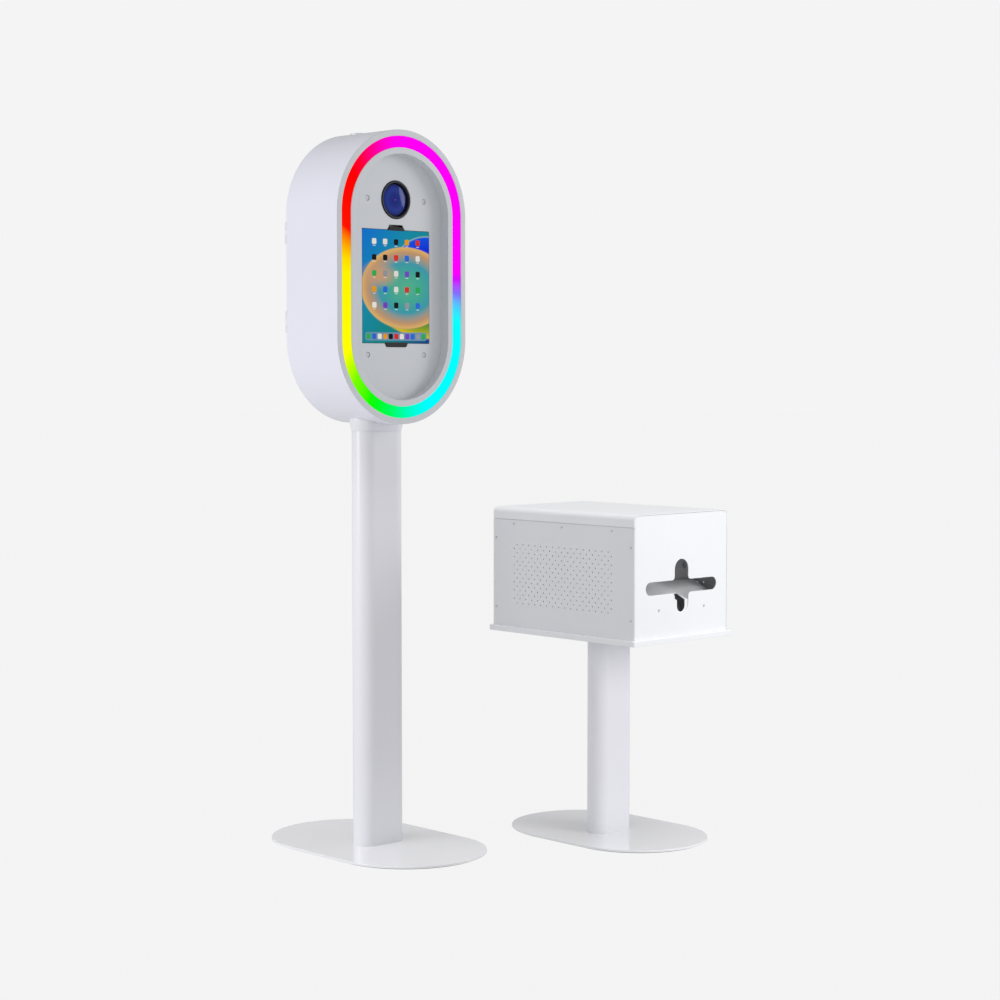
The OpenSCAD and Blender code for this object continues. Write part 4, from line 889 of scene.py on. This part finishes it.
def printer_pan():
    """The inverted pan under the case: a folded skirt round a deck with a cable hole."""
    place = Place("printer_pan")
    skirt_w = 30 * MM
    lap = 1 * MM
    cable_r = 16 * MM
    lip = 0.4 * MM
    fold = 1.8 * MM

    def ring(inset, z):
        """Points round the pan, an inset inside it, at one height."""
        low = (place.lo.x + inset, place.lo.y + inset)
        high = (place.hi.x - inset, place.hi.y - inset)
        return [Vector((p.x, p.y, z)) for p in box_path(low, high, max(2.5 * MM - inset, lip), 6)]

    skirt = rounded_path([
        (0, place.lo.z, lip), (0, place.hi.z, fold), (skirt_w, place.hi.z, 0),
        (skirt_w, place.hi.z - SHEET, 0), (SHEET, place.hi.z - SHEET, lip), (SHEET, place.lo.z, lip)])
    tray = lattice([ring(p.x, p.y) for p in skirt])
    inset = Vector((skirt_w - lap, skirt_w - lap))
    deck = box_path(place.lo.xy + inset, place.hi.xy - inset, 2 * MM)
    cable_hole = circle_path(cable_r, STATION.mid.xy)
    merge(tray, sheet_mesh([deck, cable_hole], place.hi.z - SHEET, place.hi.z, "Z", 0.05 * MM))
    piece = finish_mesh("printer_pan_shown", tray)
    fit(piece, "print_station", "station_paint", LOOKS["station_paint"], "printer_pan")


def printer_hood():
    """The bent sheet over the top of the case, with a shadow line under it."""
    place = Place("printer_hood")
    half = place.size.x / 2
    low = place.lo.z + HOOD_GAP
    outer = case_path(half, low, place.hi.z, CASE_BEND)
    inner = case_path(half - SHEET, low, place.hi.z - SHEET, CASE_BEND - SHEET)
    wrap = at_station(outer + inner[::-1])
    piece = cut_sheet("printer_hood_shown", [wrap], place.lo.y, place.hi.y, "Y", 0.35 * MM)
    fit(piece, "print_station", "station_paint", LOOKS["station_paint"], "printer_hood")


def end_path(place):
    """The outline of a plate that closes one end of the case, just inside the hood."""
    setback = 2.6 * MM
    return at_station(case_path(place.size.x / 2, place.lo.z, place.hi.z, CASE_BEND - setback))


def front_plate():
    """The front of the case, with the cross-shaped print slot and two screw holes."""
    place = Place("front_plate")
    slot_z = place.lo.z + 115 * MM
    level = (122 * MM, 15 * MM)
    upright = (23.5 * MM, 63.5 * MM)
    fillet = 9 * MM
    quarter = [(level[0], level[1], level[1]), (upright[0], level[1], fillet),
               (upright[0], upright[1], upright[0])]
    cross = []
    for su, sv in ((1, 1), (-1, 1), (-1, -1), (1, -1)):
        part = [(su * u, sv * v, radius) for u, v, radius in quarter]
        cross += part if su * sv > 0 else part[::-1]
    cross = [p + Vector((STATION.mid.x, slot_z)) for p in rounded_path(cross, 12)]
    screw_z = slot_z - 51 * MM
    screws = [circle_path(1.5 * MM, (STATION.mid.x + side * 78 * MM, screw_z), 16) for side in (-1, 1)]
    piece = cut_sheet("front_plate_shown", [end_path(place), cross] + screws,
                      place.lo.y, place.hi.y, "Y", 0.4 * MM)
    fit(piece, "print_station", "station_paint", LOOKS["station_paint"], "front_plate")


def rear_frame():
    """The back of the case, round the opening that the rear door closes."""
    place = Place("rear_frame")
    hood = Place("printer_hood")
    jamb = 34 * MM
    sill = 32 * MM
    head_drop = 14 * MM
    hole = box_path((hood.lo.x + jamb, place.lo.z + sill), (hood.hi.x - jamb, hood.lo.z - head_drop), 4 * MM)
    piece = cut_sheet("rear_frame_shown", [end_path(place), hole], place.lo.y, place.hi.y, "Y", 0.4 * MM)
    fit(piece, "print_station", "station_paint", LOOKS["station_paint"], "rear_frame")


def printer():
    """Printer in the case: a front cover with the paper exit, a hollow body, and a back cover."""
    place = Place("printer_body")
    foot_h = 4 * MM
    low = place.lo.z + foot_h
    cover_back = place.lo.y + 36 * MM
    groove = 0.6 * MM

    def outline(inset):
        """Points round the printer as seen from the front, an inset inside it."""
        return box_path((place.lo.x + inset, low + inset), (place.hi.x - inset, place.hi.z - inset), 7 * MM)

    printer_front(place, outline, cover_back)
    printer_shell(place, outline, cover_back, low, groove)
    printer_back(place, outline, low)


def printer_front(place, outline, cover_back):
    """The front cover, with the paper exit and the hole for the power key."""
    key = Place("printer_button").mid
    exit_w = 82.5 * MM      # half the slot's width and half its height
    exit_h = 6 * MM
    exit_z = place.hi.z - 22 * MM
    exit_slot = box_path((place.mid.x - exit_w, exit_z - exit_h),
                         (place.mid.x + exit_w, exit_z + exit_h), 3 * MM)
    key_hole = circle_path(3.2 * MM, (key.x, key.z), 24)
    piece = cut_sheet("printer_front_cover", [outline(0), exit_slot, key_hole],
                      place.lo.y, cover_back, "Y", 1.5 * MM)
    fit(piece, "print_station", "printer_plastic", LOOKS["printer_plastic"], "printer_body")


def printer_shell(place, outline, cover_back, low, groove):
    """The body between the two covers, with the two holders of the paper roll and four feet."""
    wall = 3 * MM
    body = sheet_mesh([outline(0), outline(wall)], cover_back + groove,
                      place.hi.y - SHEET - groove, "Y", 0.8 * MM)
    roll = Place("paper_roll")
    holder_t = 4 * MM
    reach = 15 * MM
    holder = box_path((roll.mid.y - reach, low + wall / 2), (roll.mid.y + reach, roll.mid.z + reach), 4 * MM)
    for x in (roll.lo.x - holder_t - groove, roll.hi.x + groove):
        merge(body, sheet_mesh([holder], x, x + holder_t, "X", 0.3 * MM))
    foot_r = 10 * MM
    foot_top = low + 1 * MM
    foot_inset = 25 * MM
    foot = rounded_path([(0, place.lo.z, 0), (foot_r, place.lo.z, 1 * MM),
                         (foot_r, foot_top, 0), (0, foot_top, 0)])
    for x in (place.lo.x + foot_inset, place.hi.x - foot_inset):
        for y in (place.lo.y + foot_inset, place.hi.y - foot_inset):
            merge(body, turned_mesh(foot, (x, y, 0), "Z", 32))
    piece = finish_mesh("printer_shown", body)
    fit(piece, "print_station", "printer_plastic", LOOKS["printer_plastic"], "printer_body")


def printer_back(place, outline, low):
    """The back cover, with its vents and the hole of the socket."""
    centre = place.mid.x
    vent_drop = 24 * MM
    vent_pitch = 8 * MM
    half_h = 1.5 * MM
    vents = []
    for k in range(10):
        z = place.hi.z - vent_drop - vent_pitch * k
        vents.append(box_path((centre + 20 * MM, z - half_h), (centre + 115 * MM, z + half_h), 1.4 * MM))
    socket = box_path((centre - 112 * MM, low + 18 * MM), (centre - 84 * MM, low + 40 * MM), 2 * MM)
    piece = cut_sheet("printer_back_cover", [outline(5 * MM), socket] + vents,
                      place.hi.y - SHEET, place.hi.y, "Y", 0.4 * MM)
    fit(piece, "print_station", "printer_plastic", LOOKS["printer_plastic"], "printer_body")


def dress_nodes():
    """Every CAD node gets the finish of its slot, and the hinges are painted like the doors."""
    for part in frame["record"]["subparts"]:
        name = "white_paint" if "hinges" in part["node"] else part["material_slot"]
        dress(part["node"], LOOKS[name])


# ---------------------------------------------------------------- stage
def stage():
    """A plain pale floor and an even pale surround."""
    half_floor = 40.0
    bm = bmesh.new()
    bmesh.ops.create_grid(bm, x_segments=4, y_segments=4, size=half_floor)
    mesh = bpy.data.meshes.new("floor")
    bm.to_mesh(mesh)
    bm.free()
    floor = bpy.data.objects.new("floor", mesh)
    floor.location.z = -0.2 * MM
    bpy.context.scene.collection.objects.link(floor)
    floor.data.materials.append(floor_look())

    world = bpy.data.worlds.new("surround")
    bpy.context.scene.world = world
    world.use_nodes = True
    tree = world.node_tree
    seen = tree.nodes["Background"]
    seen.inputs["Color"].default_value = linear("#ffffff")
    seen.inputs["Strength"].default_value = BACKDROP
    felt = tree.nodes.new("ShaderNodeBackground")
    felt.inputs["Strength"].default_value = AMBIENT
    chosen = seen_and_felt(tree, seen.outputs["Background"], felt.outputs["Background"])
    tree.links.new(chosen, tree.nodes["World Output"].inputs["Surface"])


def lamp(name, bodies, target, azimuth, elevation, power, reach=4.0, spared=()):
    """A soft lamp for some of the bodies, without the spared pieces, aimed at a point from an angle."""
    light = bpy.data.lights.new(name, "AREA")
    light.shape = "DISK"
    light.size = 2.0
    light.energy = power
    holder = bpy.data.objects.new(name, light)
    a = math.radians(azimuth)
    e = math.radians(elevation)
    away = Vector((math.cos(a) * math.cos(e), math.sin(a) * math.cos(e), math.sin(e)))
    holder.location = Vector(target) + reach * away
    holder.rotation_euler = (-away).to_track_quat("-Z", "Y").to_euler()
    bpy.context.scene.collection.objects.link(holder)
    carriers = [frame["bodies"][body] for body in bodies]
    lit = bpy.data.collections.new(name + "_lit")
    for piece in bpy.context.scene.objects:
        if piece.parent in carriers and piece.name not in spared:
            lit.objects.link(piece)
    holder.light_linking.receiver_collection = lit
    holder.visible_camera = False


def lights():
    """The kiosk is lit from its left, the print station from its front, and both from above."""
    station = {"print_station", "station_door", "station_door_key", "printer_power_key", "paper"}
    kiosk = set(frame["bodies"]) - station
    recess = ("inner_rim", "face_panel_shown", "face_panel_screws_shown")
    kiosk_middle = (0, 0, 1.1)
    kiosk_foot = (0, 0, 0.1)
    lamp("kiosk_key", kiosk, kiosk_middle, 165, 6, 56, spared=recess)
    lamp("kiosk_fill", kiosk, kiosk_middle, 332, 15, 48)
    lamp("base_top", {"kiosk_stand"}, kiosk_foot, 200, 72, 44)
    x = 0.49
    y = -0.28
    near = 3.5
    lamp("station_key", station, (x, y, 0.4), 288, 18, 46, near)
    lamp("station_top", station, (x, y, 0.4), 262, 72, 39, near)
    lamp("station_side", station, (x, y, 0.6), 175, 15, 9, near)
    lamp("station_back", station, (x, y, 0.8), 60, 75, 14, near)


def camera():
    """The camera stands to the front left, a little over a metre up, and looks slightly down."""
    optics = bpy.data.cameras.new("camera")
    optics.lens = 78.75
    optics.sensor_width = 36.0
    optics.clip_end = 200.0
    eye = bpy.data.objects.new("camera", optics)
    eye.location = (-3.290, -3.874, 1.114)
    yaw = math.radians(43.57)
    pitch = math.radians(3.43)
    forward = Vector((math.sin(yaw) * math.cos(pitch), math.cos(yaw) * math.cos(pitch), -math.sin(pitch)))
    eye.rotation_euler = forward.to_track_quat("-Z", "Y").to_euler()
    bpy.context.scene.collection.objects.link(eye)
    bpy.context.scene.camera = eye
    bpy.context.scene.view_settings.view_transform = "Standard"


camera()
stage()
bases()
neck()
head_rims()
face_panel()
lens()
tablet()
top_cap()
printer_pan()
printer_hood()
front_plate()
rear_frame()
printer()
dress_nodes()
lights()
